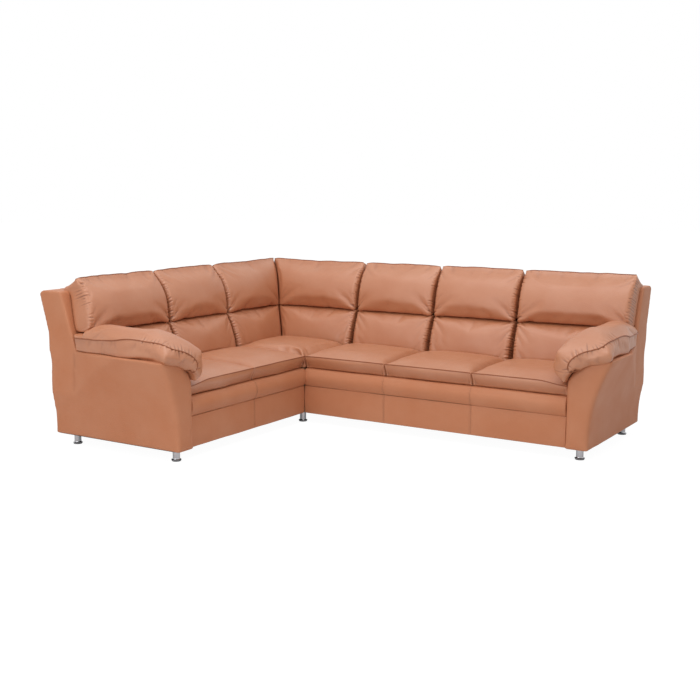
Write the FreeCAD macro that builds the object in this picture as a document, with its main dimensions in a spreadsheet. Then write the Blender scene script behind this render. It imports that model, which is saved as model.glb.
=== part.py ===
import FreeCAD, Part
import math
import os
import Sketcher

# A leather corner sofa in two sections. Every piece is drawn in the frame of its wing:
# u runs along the wing, v runs back from the front face and z is up, with the zero of
# u and v at the inner corner where the two front faces meet. The short wing is the
# same frame turned a quarter turn, so its v runs to the left.

Vector = FreeCAD.Vector
doc = FreeCAD.newDocument("corner_sofa")
sheet = doc.addObject("Spreadsheet::Sheet", "Sizes")

# Driving dimensions in millimetres
driving = {
    "seat_pitch": 556,
    "inner_seat": 530,
    "arm_seat": 582,
    "base_depth": 870,
    "under_height": 61.5,
    "skirt_top": 233,
    "roll_top": 340,
    "piping_height": 417,
    "seat_back_height": 430,
    "seat_crown": 26,
    "seat_depth_crown": 12,
    "seat_front_bow": 13,
    "seat_depth": 528,
    "boxing_bow": 5,
    "side_draw": 3,
    "soft_gap": 0.3,
    "join_gap": 0.3,
    "touch_gap": 1,
    "skirt_thick": 10,
    "roll_bulge": 13,
    "roll_back": 69.6,
    "lumbar_front": 532,
    "lumbar_top_front": 616,
    "lumbar_top": 640,
    "lumbar_bow": 22,
    "lumbar_crown": 8,
    "crease_back": 714,
    "bolster_front": 612,
    "bolster_bottom": 648,
    "bolster_bow": 38,
    "bolster_top_front": 730,
    "bolster_rise": 75,
    "bolster_top_back": 832,
    "bolster_top_fall": 18,
    "bolster_crown": 20,
    "bolster_back_overhang": 846,
    "bolster_back_bow": 6.3,
    "bolster_top_back_bow": 12.3,
    "crease_rise": 3,
    "plan_reach": 60,
    "seam_inset": 15,
    "seam_bow": 3.5,
    "end_overhang": 140,
    "first_back_seam": 536,
    "second_back_seam": 40,
    "rest_low": 640,
    "rest_low_height": 440,
    "rest_mid": 679,
    "rest_mid_height": 546,
    "rest_top": 791,
    "back_mid": 884,
    "back_mid_height": 410,
    "back_high": 898,
    "back_high_height": 645,
    "back_peak": 955,
    "back_peak_height": 850,
    "back_round": 930,
    "back_round_rise": 21,
    "back_peak_bow": 5,
    "peak_drop": 3,
    "round_inset": 4,
    "skin_lip": 3,
    "skin_lip_under": 2,
    "post_lip": 6,
    "back_skin": 8,
    "arm_width": 130,
    "arm_reach": 250,
    "arm_front": 28,
    "arm_front_bow": 8,
    "arm_top": 556,
    "arm_edge_out": 4,
    "arm_top_bow": 3,
    "arm_top_room": 10,
    "arm_arch_low": 420,
    "arm_arch_out": 125,
    "arm_arch_high": 545,
    "arm_arch_bow": 21,
    "arm_flare_bow": 38,
    "arm_flare_keep": 300,
    "arm_flare_end": 700,
    "post_width": 150,
    "post_low": 450,
    "pad_front": 50,
    "pad_front_bow": 46,
    "pad_overhang": 68,
    "pad_inner_height": 512,
    "pad_lip": 40,
    "pad_lip_height": 456,
    "pad_taper_start": 330,
    "pad_taper_end": 522,
    "pad_back": 672,
    "pad_under_back": 704,
    "pad_edge_height": 640,
    "pad_edge_out": 188,
    "pad_crown_out": 62,
    "pad_crown_height": 707,
    "pad_crown_bow": 13,
    "pad_side_bow": 14,
    "pad_inner_bow": 22,
    "pad_peak": 718,
    "pad_peak_place": 300,
    "pad_rear_top": 664,
    "pad_rear_top_place": 606,
    "pad_nose_height": 560,
    "pad_nose_place": 96,
    "pad_chin_height": 446,
    "pad_chin_place": 60,
    "pad_nose_bow": 46,
    "pad_rear_bow": 18,
    "pad_under_drop": 6,
    "pad_rear_drop": 4,
    "board": 28,
    "arm_board": 18,
    "arm_skin": 14,
    "arm_frame_top": 430,
    "arm_frame_front": 8,
    "arm_frame_back": 842,
    "rail_inset": 10,
    "ledger_height": 28,
    "back_rail_top": 232.7,
    "back_rail_back": 861,
    "spring_rail_back": 640,
    "spring_wire": 3.5,
    "spring_loops": 10,
    "spring_width": 56,
    "springs_per_seat": 4,
    "top_rail_depth": 100,
    "top_rail_rise": 8,
    "lumbar_rail_height": 90,
    "lumbar_rail_gap": 3,
    "dust_cover_thick": 1.5,
    "dust_cover_inset": 12,
    "leg_in": 35,
    "leg_arm_in": 65,
    "leg_front_in": 45,
    "leg_back_in": 100,
    "leg_radius": 19.5,
    "leg_wall": 2.5,
    "foot_radius": 27,
    "foot_rise": 11,
    "foot_curl": 2.5,
    "leg_floor": 16,
    "leg_lid": 4,
    "bolt_radius": 5,
    "bolt_length": 20,
    "pad_height": 6,
    "pad_radius": 25,
    "pad_edge": 1,
    "spigot_radius": 4,
    "spigot_length": 9,
    "thread_gap": 0.05,
    "plate_thick": 2,
    "plate_width": 60,
    "boss_radius": 8,
    "boss_height": 12,
    "block_width": 65.4,
    "block_top": 91.5,
    "hook_plate": 3,
    "hook_low": 112,
    "hook_high": 196,
    "hook_width": 60,
    "tongue_low": 150,
    "tongue_gap": 0.6,
    "tongue_width": 40,
    "strap_high": 192.7,
    "socket_low": 118,
    "near_hook": 200,
    "far_hook": 650,
    "spacer_radius": 17,
    "spacer_height": 750,
    "spacer_reach": 985,
    "near_spacer": 150,
    "far_spacer": 620,
    "stock": 3000,
}
for row, (name, number) in enumerate(driving.items(), 1):
    sheet.set(f"A{row}", name)
    sheet.set(f"B{row}", str(number))
    sheet.setAlias(f"B{row}", name)
doc.recompute()


class Size:
    """A length with its number and the sheet expression that it comes from."""

    def __init__(self, value, text):
        self.value = value
        self.text = text

    def __add__(self, other):
        other = as_size(other)
        return Size(self.value + other.value, f"({self.text} + {other.text})")

    def __sub__(self, other):
        other = as_size(other)
        return Size(self.value - other.value, f"({self.text} - {other.text})")

    def __mul__(self, other):
        other = as_size(other)
        return Size(self.value * other.value, f"({self.text} * {other.text})")

    def __truediv__(self, other):
        other = as_size(other)
        return Size(self.value / other.value, f"({self.text} / {other.text})")

    def __neg__(self):
        return Size(-self.value, f"(-1 * {self.text})")


def as_size(number):
    if isinstance(number, Size):
        return number
    return Size(number, f"({number})")


def named(name):
    return Size(getattr(sheet, name), f"Sizes.{name}")


class Wing:
    """Where a wing's own frame lies: its turn about the upright axis."""

    def __init__(self, turn):
        self.turn = turn


longWing = Wing(0)
shortWing = Wing(90)
zero = as_size(0)
gap = named("soft_gap")
joinGap = named("join_gap")
touch = named("touch_gap")
stock = named("stock")
depth = named("base_depth")
longEnd = named("seat_pitch") * 3
shortEnd = named("inner_seat") + named("arm_seat")
armReach = named("arm_reach")
under = named("under_height")
peakHeight = named("back_peak_height")
backTop = peakHeight + named("back_round_rise")
bolsterTop = backTop + named("bolster_rise")

# The origin is the middle of the overall box, on the floor
cornerX = (named("spacer_reach") - longEnd - armReach) / 2
cornerY = (shortEnd + armReach - named("back_peak")) / 2


def place(thing, wing):
    thing.Placement = FreeCAD.Placement(Vector(0, 0, 0), FreeCAD.Rotation(Vector(0, 0, 1), wing.turn))
    thing.setExpression("Placement.Base.x", cornerX.text)
    thing.setExpression("Placement.Base.y", cornerY.text)


def origin_plane(body, role):
    for feature in body.Origin.OriginFeatures:
        if feature.Role == role:
            return feature
    raise ValueError(role)


def new_sketch(body, role, name):
    sketch = body.newObject("Sketcher::SketchObject", name)
    sketch.AttachmentSupport = [(origin_plane(body, role), "")]
    sketch.MapMode = "FlatFace"
    return sketch


def add_outline(sketch, corners):
    """Closed outline, anticlockwise: each corner is (across, up) or (across, up, bow),
    where bow lifts the edge that starts there outwards into an arc."""
    corners = [(as_size(c[0]), as_size(c[1]), as_size(c[2]) if len(c) > 2 else None) for c in corners]
    first = sketch.GeometryCount
    count = len(corners)
    edges = []
    starts = []
    ends = []
    for i, (across, up, bow) in enumerate(corners):
        following = corners[(i + 1) % count]
        start = Vector(across.value, up.value, 0)
        end = Vector(following[0].value, following[1].value, 0)
        if bow is None:
            edges.append(Part.LineSegment(start, end))
        else:
            along = end - start
            outward = Vector(along.y, -along.x, 0).normalize()
            edges.append(Part.Arc(start, (start + end) / 2 + outward * bow.value, end))
        reverse = bow is not None and bow.value < 0
        starts.append(2 if reverse else 1)
        ends.append(1 if reverse else 2)
    sketch.addGeometry(edges, False)
    constraints = []
    texts = []
    for i, (across, up, bow) in enumerate(corners):
        j = (i + 1) % count
        constraints.append(Sketcher.Constraint("Coincident", first + i, ends[i], first + j, starts[j]))
        texts.append(None)
        constraints.append(Sketcher.Constraint("DistanceX", first + i, starts[i], across.value))
        texts.append(across.text)
        constraints.append(Sketcher.Constraint("DistanceY", first + i, starts[i], up.value))
        texts.append(up.text)
        if bow is not None:
            run = corners[j][0] - across
            rise = corners[j][1] - up
            lift = bow if bow.value > 0 else -bow
            radius = (run * run + rise * rise) / (lift * 8) + lift / 2
            constraints.append(Sketcher.Constraint("Radius", first + i, radius.value))
            texts.append(radius.text)
    before = sketch.ConstraintCount
    sketch.addConstraint(constraints)
    for i, text in enumerate(texts):
        if text:
            sketch.setExpression(f"Constraints[{before + i}]", text)


def mirrored(corners):
    """The same outline on the other side of across = 0, still anticlockwise."""
    full = [(c[0], c[1], c[2] if len(c) > 2 else None) for c in corners]
    count = len(full)
    turned = []
    for i in range(count):
        corner = full[(count - i) % count]
        bow = full[(count - i - 1) % count][2]
        point = (-as_size(corner[0]), corner[1])
        turned.append(point if bow is None else point + (bow,))
    return turned


def shifted(corners, offset):
    return [(as_size(c[0]) + offset,) + tuple(c[1:]) for c in corners]


def trim(body, role, name, corners):
    """Cut away everything outside an outline, seen square to a plane of the wing."""
    sketch = new_sketch(body, role, name)
    add_outline(sketch, [(-stock, -stock), (stock, -stock), (stock, stock), (-stock, stock)])
    add_outline(sketch, corners)
    pocket = body.newObject("PartDesign::Pocket", name + "_cut")
    pocket.Profile = sketch
    pocket.Type = "ThroughAll"
    pocket.Midplane = True
    return pocket


def three_view_solid(label, wing, side, plan=None, front=None):
    """A solid given by its outlines from the side (v, z), from above (u, v) and from the front (u, z)."""
    body = doc.addObject("PartDesign::Body", label)
    body.Label = label
    sketch = new_sketch(body, "YZ_Plane", label + "_side")
    add_outline(sketch, side)
    pad = body.newObject("PartDesign::Pad", label + "_pad")
    pad.Profile = sketch
    pad.Midplane = True
    pad.setExpression("Length", (stock * 2).text)
    if plan:
        trim(body, "XY_Plane", label + "_plan", plan)
    if front:
        trim(body, "XZ_Plane", label + "_front", front)
    place(body, wing)
    return body


def board(name, u, v, z):
    """A plain box from u[0] to u[1], v[0] to v[1] and z[0] to z[1] of its wing."""
    box = doc.addObject("Part::Box", name)
    for side, (low, high) in zip(("Length", "Width", "Height"), (u, v, z)):
        box.setExpression(side, (as_size(high) - as_size(low)).text)
    for letter, (low, high) in zip("xyz", (u, v, z)):
        box.setExpression(f"Placement.Base.{letter}", as_size(low).text)
    return box


def drill(name, u, v, radius, z):
    """A round bar from z[0] to z[1], used as a pin or to cut a hole."""
    bar = doc.addObject("Part::Cylinder", name)
    bar.setExpression("Radius", radius.text)
    bar.setExpression("Height", (as_size(z[1]) - as_size(z[0])).text)
    for letter, number in zip("xyz", (u, v, z[0])):
        bar.setExpression(f"Placement.Base.{letter}", as_size(number).text)
    return bar


def cut(name, base, tools):
    for i, tool in enumerate(tools):
        result = doc.addObject("Part::Cut", f"{name}_{i}")
        result.Base = base
        result.Tool = tool
        base = result
    return base


def fuse(name, shapes):
    result = doc.addObject("Part::MultiFuse", name)
    result.Shapes = shapes
    result.Refine = True
    return result


def group(label, wing, pieces):
    """One node that holds several separate pieces of a wing."""
    compound = doc.addObject("Part::Compound", label)
    compound.Links = pieces
    compound.Label = label
    place(compound, wing)
    return compound


def rectangle(u, v):
    return [(u[0], v[0]), (u[1], v[0]), (u[1], v[1]), (u[0], v[1])]


parts = []

# Seat cushions

seatBottom = named("roll_top") + gap
seatFront = as_size(2)


def seat_cushion(label, wing, u0, u1, front, bow):
    piping = named("piping_height")
    back = named("seat_depth")
    side = [
        (front, seatBottom),
        (back, seatBottom),
        (back, named("seat_back_height"), named("seat_depth_crown")),
        (front, piping),
    ]
    if bow:
        side[3] = (front - bow, piping, named("boxing_bow"))
        side[0] = (front - bow, seatBottom)
    draw = -named("side_draw")
    plan = [(u0, front), (u1, front, draw), (u1, back), (u0, back, draw)]
    if bow:
        plan[0] = (u0, front, bow)
    view = [(u0, seatBottom), (u1, seatBottom), (u1, piping, named("seat_crown")), (u0, piping)]
    parts.append(three_view_solid(label, wing, side, plan, view))


frontBow = named("seat_front_bow")
innerSeam = -named("inner_seat")
seat_cushion("seat_cushion_by_left_arm", shortWing, -shortEnd + gap, innerSeam - gap, seatFront, frontBow)
seat_cushion("seat_cushion_short_wing", shortWing, innerSeam + gap, -gap, seatFront, frontBow)
seat_cushion("seat_cushion_corner", shortWing, gap, named("seat_depth"), joinGap, None)
longSeatNames = ("seat_cushion_long_wing_left", "seat_cushion_long_wing_middle", "seat_cushion_by_right_arm")
for i, label in enumerate(longSeatNames):
    left = named("seat_pitch") * i + gap
    right = named("seat_pitch") * (i + 1) - gap
    seat_cushion(label, longWing, left, right, seatFront, frontBow)

# Padded front rolls under the seats and flat skirt panels under the rolls

bulge = named("roll_bulge")
rollBack = named("roll_back")


def front_roll(label, wing, u0, u1, mitred):
    """A roll whose bulge runs out on the diagonal where the two wings meet."""
    low = named("skirt_top")
    high = named("roll_top")
    side = [(zero, low), (rollBack, low), (rollBack, high), (zero, high, bulge)]
    plan = [(u0, -bulge), (u1, -bulge), (u1, rollBack), (u0, rollBack)]
    if mitred == "right":
        plan[1:2] = [(u1 - bulge, -bulge), (u1, zero)]
    if mitred == "left":
        plan[0:1] = [(u0, zero), (u0 + bulge, -bulge)]
    parts.append(three_view_solid(label, wing, side, plan))


def skirt(label, wing, u0, u1):
    panel = board(label, (u0, u1), (zero, named("skirt_thick")), (under, named("skirt_top") - gap))
    parts.append(group(label + "_panel", wing, [panel]))


front_roll("corner_section_front_roll", shortWing, -shortEnd + gap, -gap, "right")
front_roll("long_section_front_roll", longWing, joinGap, longEnd - gap, "left")
skirt("corner_section_skirt", shortWing, -shortEnd + gap, -gap)
skirt("long_section_skirt", longWing, joinGap, longEnd - gap)

# Back cushions: a lumbar cushion below the crease and a head bolster above it

inset = named("seam_inset")
frontLimit = named("lumbar_front") - named("plan_reach")
backLimit = named("back_peak")


def cushion_plan(u0, u1, mitre):
    """Cushion sides drawn in towards the front; the corner ones end on the diagonal."""
    plan = [
        (u0 + inset, frontLimit),
        (u1 - inset, frontLimit, named("seam_bow")),
        (u1, backLimit),
        (u0, backLimit, named("seam_bow")),
    ]
    if mitre > 0:
        plan[1] = (frontLimit - gap, frontLimit)
        plan[2] = (backLimit - gap, backLimit)
    if mitre < 0:
        plan[0] = (-frontLimit + gap, frontLimit)
        plan[3] = (-backLimit + gap, backLimit)
    return plan


def lumbar_cushion(label, wing, u0, u1, mitre=0):
    side = [
        (named("lumbar_front"), seatBottom),
        (named("rest_low") - gap, seatBottom),
        (named("rest_low") - gap, named("rest_low_height")),
        (named("rest_mid") - touch, named("rest_mid_height")),
        (named("crease_back"), named("bolster_bottom") - touch),
        (named("lumbar_top_front"), named("lumbar_top"), named("lumbar_bow")),
    ]
    view = [(u0, seatBottom), (u1, seatBottom), (u1, named("lumbar_top"), named("lumbar_crown")),
            (u0, named("lumbar_top"))]
    if mitre:
        view = None
    parts.append(three_view_solid(label, wing, side, cushion_plan(u0, u1, mitre), view))


def head_bolster(label, wing, u0, u1, mitre=0):
    bottom = named("bolster_bottom")
    shoulder = bolsterTop - named("bolster_crown")
    side = [
        (named("bolster_front"), bottom),
        (named("crease_back") + touch, bottom + named("crease_rise")),
        (named("rest_top") - gap, backTop + gap),
        (named("bolster_back_overhang"), backTop + gap, named("bolster_back_bow")),
        (named("bolster_top_back"), bolsterTop - named("bolster_top_fall"), named("bolster_top_back_bow")),
        (named("bolster_top_front"), bolsterTop - named("bolster_top_fall") / 2, named("bolster_bow")),
    ]
    view = [(u0, bottom), (u1, bottom), (u1, shoulder, named("bolster_crown")), (u0, shoulder)]
    if mitre:
        view = None
    parts.append(three_view_solid(label, wing, side, cushion_plan(u0, u1, mitre), view))


overhang = named("end_overhang")
seamOne = -named("first_back_seam")
seamTwo = named("second_back_seam")
lumbar_cushion("lumbar_cushion_1", shortWing, -shortEnd + gap, seamOne - gap)
lumbar_cushion("lumbar_cushion_2", shortWing, seamOne + gap, seamTwo - gap)
lumbar_cushion("lumbar_cushion_3", shortWing, seamTwo + gap, backLimit, 1)
lumbar_cushion("lumbar_cushion_4", longWing, -backLimit, -joinGap, -1)
head_bolster("head_bolster_1", shortWing, -shortEnd - overhang, seamOne - gap)
head_bolster("head_bolster_2", shortWing, seamOne + gap, seamTwo - gap)
head_bolster("head_bolster_3", shortWing, seamTwo + gap, backLimit, 1)
head_bolster("head_bolster_4", longWing, -backLimit, -joinGap, -1)
for i in range(3):
    left = named("seat_pitch") * i + joinGap
    right = named("seat_pitch") * (i + 1) - gap
    lumbar_cushion(f"lumbar_cushion_{5 + i}", longWing, left, right)
    far = right if i < 2 else longEnd + overhang
    head_bolster(f"head_bolster_{5 + i}", longWing, left, far)

# Arms: a timber box inside a padded leather cover, with a pillow-top pad over it

front = -named("arm_front")


def arm_view():
    """Front view of the arm cover, out from the seat edge: upright, then flared, arched under the pad."""
    return [
        (zero, under),
        (named("arm_width"), under, -named("arm_flare_bow")),
        (armReach + named("arm_edge_out"), named("arm_top"), named("arm_top_bow")),
        (named("arm_arch_out"), named("arm_arch_high"), named("arm_arch_bow")),
        (zero, named("arm_arch_low")),
    ]


def pad_view():
    """Front view of the pad: it wraps the arch, bulges over the seat and ends on the arm's outer edge."""
    return [
        (zero, named("arm_arch_low") + gap, -named("arm_arch_bow")),
        (named("arm_arch_out"), named("arm_arch_high") + gap, -named("arm_top_bow")),
        (armReach + named("arm_edge_out"), named("arm_top") + gap, named("pad_side_bow")),
        (named("pad_edge_out"), named("pad_edge_height"), named("pad_crown_bow")),
        (named("pad_crown_out"), named("pad_crown_height"), named("pad_inner_bow")),
        (-named("pad_overhang"), named("pad_inner_height"), named("pad_side_bow") / 2),
        (-named("pad_lip"), named("pad_lip_height")),
    ]


def arm_plan():
    """Seen from above the flare fades towards the back post."""
    return [
        (zero, front, named("arm_front_bow")),
        (armReach, front),
        (armReach, named("arm_flare_keep")),
        (named("post_width"), named("arm_flare_end")),
        (named("post_width"), depth + named("plan_reach")),
        (zero, depth + named("plan_reach")),
    ]


def pad_plan():
    return [
        (-named("pad_overhang"), -named("pad_front"), named("pad_front_bow")),
        (armReach, -named("pad_front")),
        (armReach, named("arm_flare_keep")),
        (named("post_width"), named("arm_flare_end")),
        (named("post_width"), depth),
        (touch, depth),
        (touch, named("pad_taper_end")),
        (-named("pad_overhang"), named("pad_taper_start")),
    ]


def arm(side, wing, edge, outward):
    """The pieces of one arm: edge is the seat edge it stands at, and outward is 1 or -1 along the wing."""

    def facing(corners):
        return shifted(corners if outward > 0 else mirrored(corners), edge)

    def span(low, high):
        ends = (edge + as_size(low) * outward, edge + as_size(high) * outward)
        return ends if outward > 0 else ends[::-1]

    postLow = named("post_low")
    postFront = named("rest_mid") + touch
    share = (postLow - named("back_mid_height")) / (named("back_high_height") - named("back_mid_height"))
    backAtPost = named("back_mid") + (named("back_high") - named("back_mid")) * share
    coverTop = named("arm_top") + named("arm_top_room")
    coverSide = [
        (front, under),
        (depth, under),
        (named("back_mid"), named("back_mid_height")),
        (backAtPost, postLow),
        (postFront, postLow),
        (postFront, coverTop),
        (front, coverTop),
    ]
    skin = named("arm_skin")
    thick = named("arm_board")
    width = named("arm_width")
    frameTop = named("arm_frame_top")
    frameSpan = (named("arm_frame_front"), named("arm_frame_back"))
    cover = three_view_solid(f"{side}_arm_cover", wing, coverSide, facing(arm_plan()), facing(arm_view()))
    hollow = new_sketch(cover, "XY_Plane", f"{side}_arm_hollow")
    add_outline(hollow, rectangle(span(skin, width - skin), frameSpan))
    pocket = cover.newObject("PartDesign::Pocket", f"{side}_arm_hollow_cut")
    pocket.Profile = hollow
    pocket.Type = "Length"
    pocket.Reversed = True
    pocket.setExpression("Length", (frameTop + gap).text)
    parts.append(cover)

    boards = [
        board(f"{side}_arm_inner_board", span(skin, skin + thick), frameSpan, (under, frameTop)),
        board(f"{side}_arm_outer_board", span(width - skin - thick, width - skin), frameSpan,
              (under, frameTop)),
        board(f"{side}_arm_top_board", span(skin + thick, width - skin - thick), frameSpan,
              (frameTop - thick, frameTop)),
    ]
    parts.append(group(f"{side}_arm_frame", wing, boards))

    padSide = [
        (-named("pad_chin_place"), named("arm_arch_low")),
        (named("pad_back"), named("arm_arch_low")),
        (named("pad_back"), named("rest_mid_height")),
        (named("pad_under_back"), named("bolster_bottom") - named("pad_under_drop")),
        (named("pad_rear_top_place"), named("bolster_bottom") - named("pad_rear_drop")),
        (named("pad_rear_top_place"), named("pad_rear_top"), named("pad_rear_bow")),
        (named("pad_peak_place"), named("pad_peak"), named("pad_nose_bow")),
        (-named("pad_nose_place"), named("pad_nose_height"), named("pad_rear_bow")),
        (-named("pad_chin_place"), named("pad_chin_height")),
    ]
    parts.append(three_view_solid(f"{side}_arm_pad", wing, padSide, facing(pad_plan()), facing(pad_view())))

    postSide = [
        (postFront + gap, postLow + gap),
        (backAtPost, postLow + gap),
        (named("back_high"), named("back_high_height")),
        (named("back_peak"), peakHeight, named("back_peak_bow")),
        (named("back_round"), backTop),
        (named("rest_top") + named("post_lip"), backTop, touch),
        (named("rest_top"), backTop - named("back_skin")),
        (postFront + gap, named("rest_mid_height")),
    ]
    parts.append(three_view_solid(f"{side}_back_post", wing, postSide,
                                  rectangle(span(gap, named("post_width")), (zero, stock / 2))))


arm("left", shortWing, -shortEnd, -1)
arm("right", longWing, longEnd, 1)

# Outside backs: a leather skin that runs up the back and over the top of the timber


def back_skin(label, wing, plan):
    skin = named("back_skin")
    side = [
        (depth - skin, under),
        (depth, under),
        (named("back_mid"), named("back_mid_height")),
        (named("back_high"), named("back_high_height")),
        (named("back_peak"), peakHeight, named("back_peak_bow")),
        (named("back_round"), backTop),
        (named("rest_top") + named("skin_lip"), backTop),
        (named("rest_top") + named("skin_lip_under"), backTop - skin),
        (named("back_round") - named("round_inset"), backTop - skin),
        (named("back_peak") - skin - touch, peakHeight - named("peak_drop")),
        (named("back_high") - skin, named("back_high_height")),
        (named("back_mid") - skin, named("back_mid_height")),
    ]
    parts.append(three_view_solid(label, wing, side, plan))


innerMitre = named("rest_low")
back_skin("short_wing_outside_back", shortWing,
          [(-shortEnd, innerMitre), (innerMitre, innerMitre), (stock / 2, stock / 2), (-shortEnd, stock / 2)])
back_skin("corner_outside_back", longWing,
          [(-innerMitre, innerMitre), (-joinGap, innerMitre), (-joinGap, stock / 2), (-stock / 2, stock / 2)])
back_skin("long_wing_outside_back", longWing, rectangle((joinGap, longEnd), (innerMitre, stock / 2)))

# Timber seat frames

thick = named("board")
railInset = named("rail_inset")
railLow = named("block_top")
railHigh = named("roll_top") - named("spring_wire") - gap / 2
backRailTop = named("back_rail_top")
backRail = (named("back_rail_back") - thick, named("back_rail_back"))
springRail = (named("spring_rail_back") - thick, named("spring_rail_back"))
frontRail = (rollBack + gap, rollBack + gap + thick)
ledger = (named("skirt_thick"), frontRail[0])
uprightLow = backRailTop + gap


def seat_frame(section, wing, u0, u1, seams, frontSpan, springEnd, moreCross, moreSpring):
    """Four nodes: front rail with its ledgers, back rail, cross rails and spring rails."""
    frontRails = [
        board(section + "_front_board", frontSpan, frontRail, (railLow, railHigh)),
        board(section + "_upper_ledger", frontSpan, ledger,
              (named("skirt_top") - gap - named("ledger_height"), named("skirt_top") - gap)),
        board(section + "_lower_ledger", frontSpan, ledger, (railLow, railLow + named("ledger_height"))),
    ]
    parts.append(group(section + "_front_rail", wing, frontRails))
    back = board(section + "_back_board", (u0, u1), backRail, (railLow, backRailTop))
    parts.append(group(section + "_back_rail", wing, [back]))
    cross = []
    for i, middle in enumerate(seams):
        cross.append(board(f"{section}_cross_board_{i}", (middle - thick / 2, middle + thick / 2),
                           (frontRail[1], backRail[0]), (railLow, backRailTop)))
    parts.append(group(section + "_cross_rails", wing, cross + moreCross))
    spring = board(section + "_spring_board", (u0, springEnd), springRail, (backRailTop, railHigh))
    parts.append(group(section + "_spring_rails", wing, [spring] + moreSpring))


joinRail = board("join_rail", (gap, backRail[1]), (railInset, railInset + thick), (railLow, backRailTop))
joinRailTop = board("join_rail_top", (gap, springRail[1]), (railInset, railInset + thick),
                    (backRailTop, railHigh))
endRail = board("end_rail", backRail, (railInset + thick, backRail[0]), (railLow, backRailTop))
turnRail = board("turn_spring_rail", springRail, (railInset + thick, springRail[1]), (backRailTop, railHigh))
turnCross = board("turn_cross_rail", springRail, (railInset + thick, backRail[0]), (railLow, backRailTop))
seat_frame("corner_section", shortWing, -shortEnd + railInset, backRail[0],
           [-shortEnd + railInset + thick / 2, innerSeam], (-shortEnd + railInset, -gap), springRail[0],
           [joinRail, endRail, turnCross], [joinRailTop, turnRail])
longJoin = board("long_join_rail", (railInset, railInset + thick), (frontRail[1], backRail[0]),
                 (railLow, backRailTop))
longJoinTop = board("long_join_rail_top", (railInset, railInset + thick), (frontRail[1], springRail[0]),
                    (backRailTop, railHigh))
seat_frame("long_section", longWing, railInset, longEnd - railInset,
           [named("seat_pitch"), named("seat_pitch") * 2, longEnd - railInset - thick / 2],
           (railInset, longEnd - railInset), longEnd - railInset, [longJoin], [longJoinTop])

# Timber back frames: shaped uprights with a top rail and a lumbar rail between them


def upright(name, middle):
    """An upright board whose front edge carries the back cushions."""
    skin = named("back_skin") + touch
    corners = [
        (springRail[1] + touch, uprightLow),
        (named("back_rail_back") - touch, uprightLow),
        (named("back_mid") - skin - touch, named("back_mid_height")),
        (named("back_high") - skin, named("back_high_height")),
        (named("back_peak") - skin - named("peak_drop"), peakHeight - named("peak_drop") * 2),
        (named("back_round") - skin, backTop - skin),
        (named("rest_top") + touch, backTop - skin),
        (named("rest_mid") + touch, named("rest_mid_height")),
        (springRail[1] + touch, named("rest_low_height")),
    ]
    return three_view_solid(name, longWing, corners,
                            rectangle((middle - thick / 2, middle + thick / 2), (zero, stock / 2)))


def frame_pieces(label, middles):
    pieces = []
    for i, middle in enumerate(middles):
        post = upright(f"{label}_upright_{i}", middle)
        post.setExpression("Placement.Base.x", None)
        post.setExpression("Placement.Base.y", None)
        post.Placement = FreeCAD.Placement()
        pieces.append(post)
    topLow = backTop - named("back_skin") - touch - thick
    lumbarRail = named("lumbar_rail_height")
    railFront = named("rest_top") + named("top_rail_rise")
    railPlace = named("rest_mid") + named("lumbar_rail_gap")
    for i in range(len(middles) - 1):
        between = (middles[i] + thick / 2, middles[i + 1] - thick / 2)
        pieces.append(board(f"{label}_top_rail_{i}", between,
                            (railFront, railFront + named("top_rail_depth")), (topLow, topLow + thick)))
        pieces.append(board(f"{label}_lumbar_rail_{i}", between,
                            (railPlace, railPlace + thick),
                            (named("rest_mid_height") - lumbarRail / 2, named("rest_mid_height"))))
    return pieces


halfBoard = thick / 2
shortPosts = [-shortEnd + railInset + halfBoard, seamOne, seamTwo, named("rest_low") - halfBoard]
longPosts = [zero + railInset + halfBoard, named("seat_pitch"), named("seat_pitch") * 2,
             longEnd - railInset - halfBoard]
parts.append(group("long_section_back_frame", longWing, frame_pieces("long_back", longPosts)))
turnPosts = [-named("rest_low") + halfBoard, -railInset - halfBoard]
turnedRun = doc.addObject("Part::Compound", "corner_turn_back")
turnedRun.Links = frame_pieces("corner_turn", turnPosts)
turnedRun.Placement = FreeCAD.Placement(Vector(0, 0, 0), FreeCAD.Rotation(Vector(0, 0, 1), -shortWing.turn))
cornerBack = frame_pieces("corner_back", shortPosts)
parts.append(group("corner_section_back_frame", shortWing, cornerBack + [turnedRun]))

# Sinuous seat springs, from the front rail to the spring rail


def sinuous_spring(run, width, wire, loops):
    """One zigzag wire along v from 0 to run, with half turns at both sides."""
    pitch = run / loops
    turn = pitch / 2
    half = width / 2 - turn
    edges = []
    side = -1
    for i in range(loops):
        start = Vector(side * half, i * pitch, 0)
        end = Vector(-side * half, i * pitch, 0)
        edges.append(Part.LineSegment(start, end).toShape())
        above = end + Vector(0, pitch, 0)
        crest = end + Vector(-side * turn, turn, 0)
        edges.append(Part.Arc(end, crest, above).toShape())
        side = -side
    last = Vector(side * half, run, 0)
    edges.append(Part.LineSegment(last, Vector(-side * half, run, 0)).toShape())
    path = Part.Wire(edges)
    ring = Part.Wire(Part.Circle(Vector(-half, 0, 0), Vector(1, 0, 0), wire / 2).toShape())
    return path.makePipeShell([ring], True, False)


def seat_springs(label, wing, seats):
    wire = sheet.spring_wire
    height = railHigh.value + wire / 2
    shapes = []
    for u0, u1, v0, v1 in seats:
        spring = sinuous_spring(v1.value - v0.value, sheet.spring_width, wire, int(sheet.spring_loops))
        count = int(sheet.springs_per_seat)
        pitch = (u1.value - u0.value) / count
        for i in range(count):
            copy = spring.copy()
            copy.translate(Vector(u0.value + (i + 0.5) * pitch, v0.value, height))
            shapes.append(copy)
    feature = doc.addObject("Part::Feature", label)
    feature.Label = label
    feature.Shape = Part.makeCompound(shapes)
    place(feature, wing)
    parts.append(feature)


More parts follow.
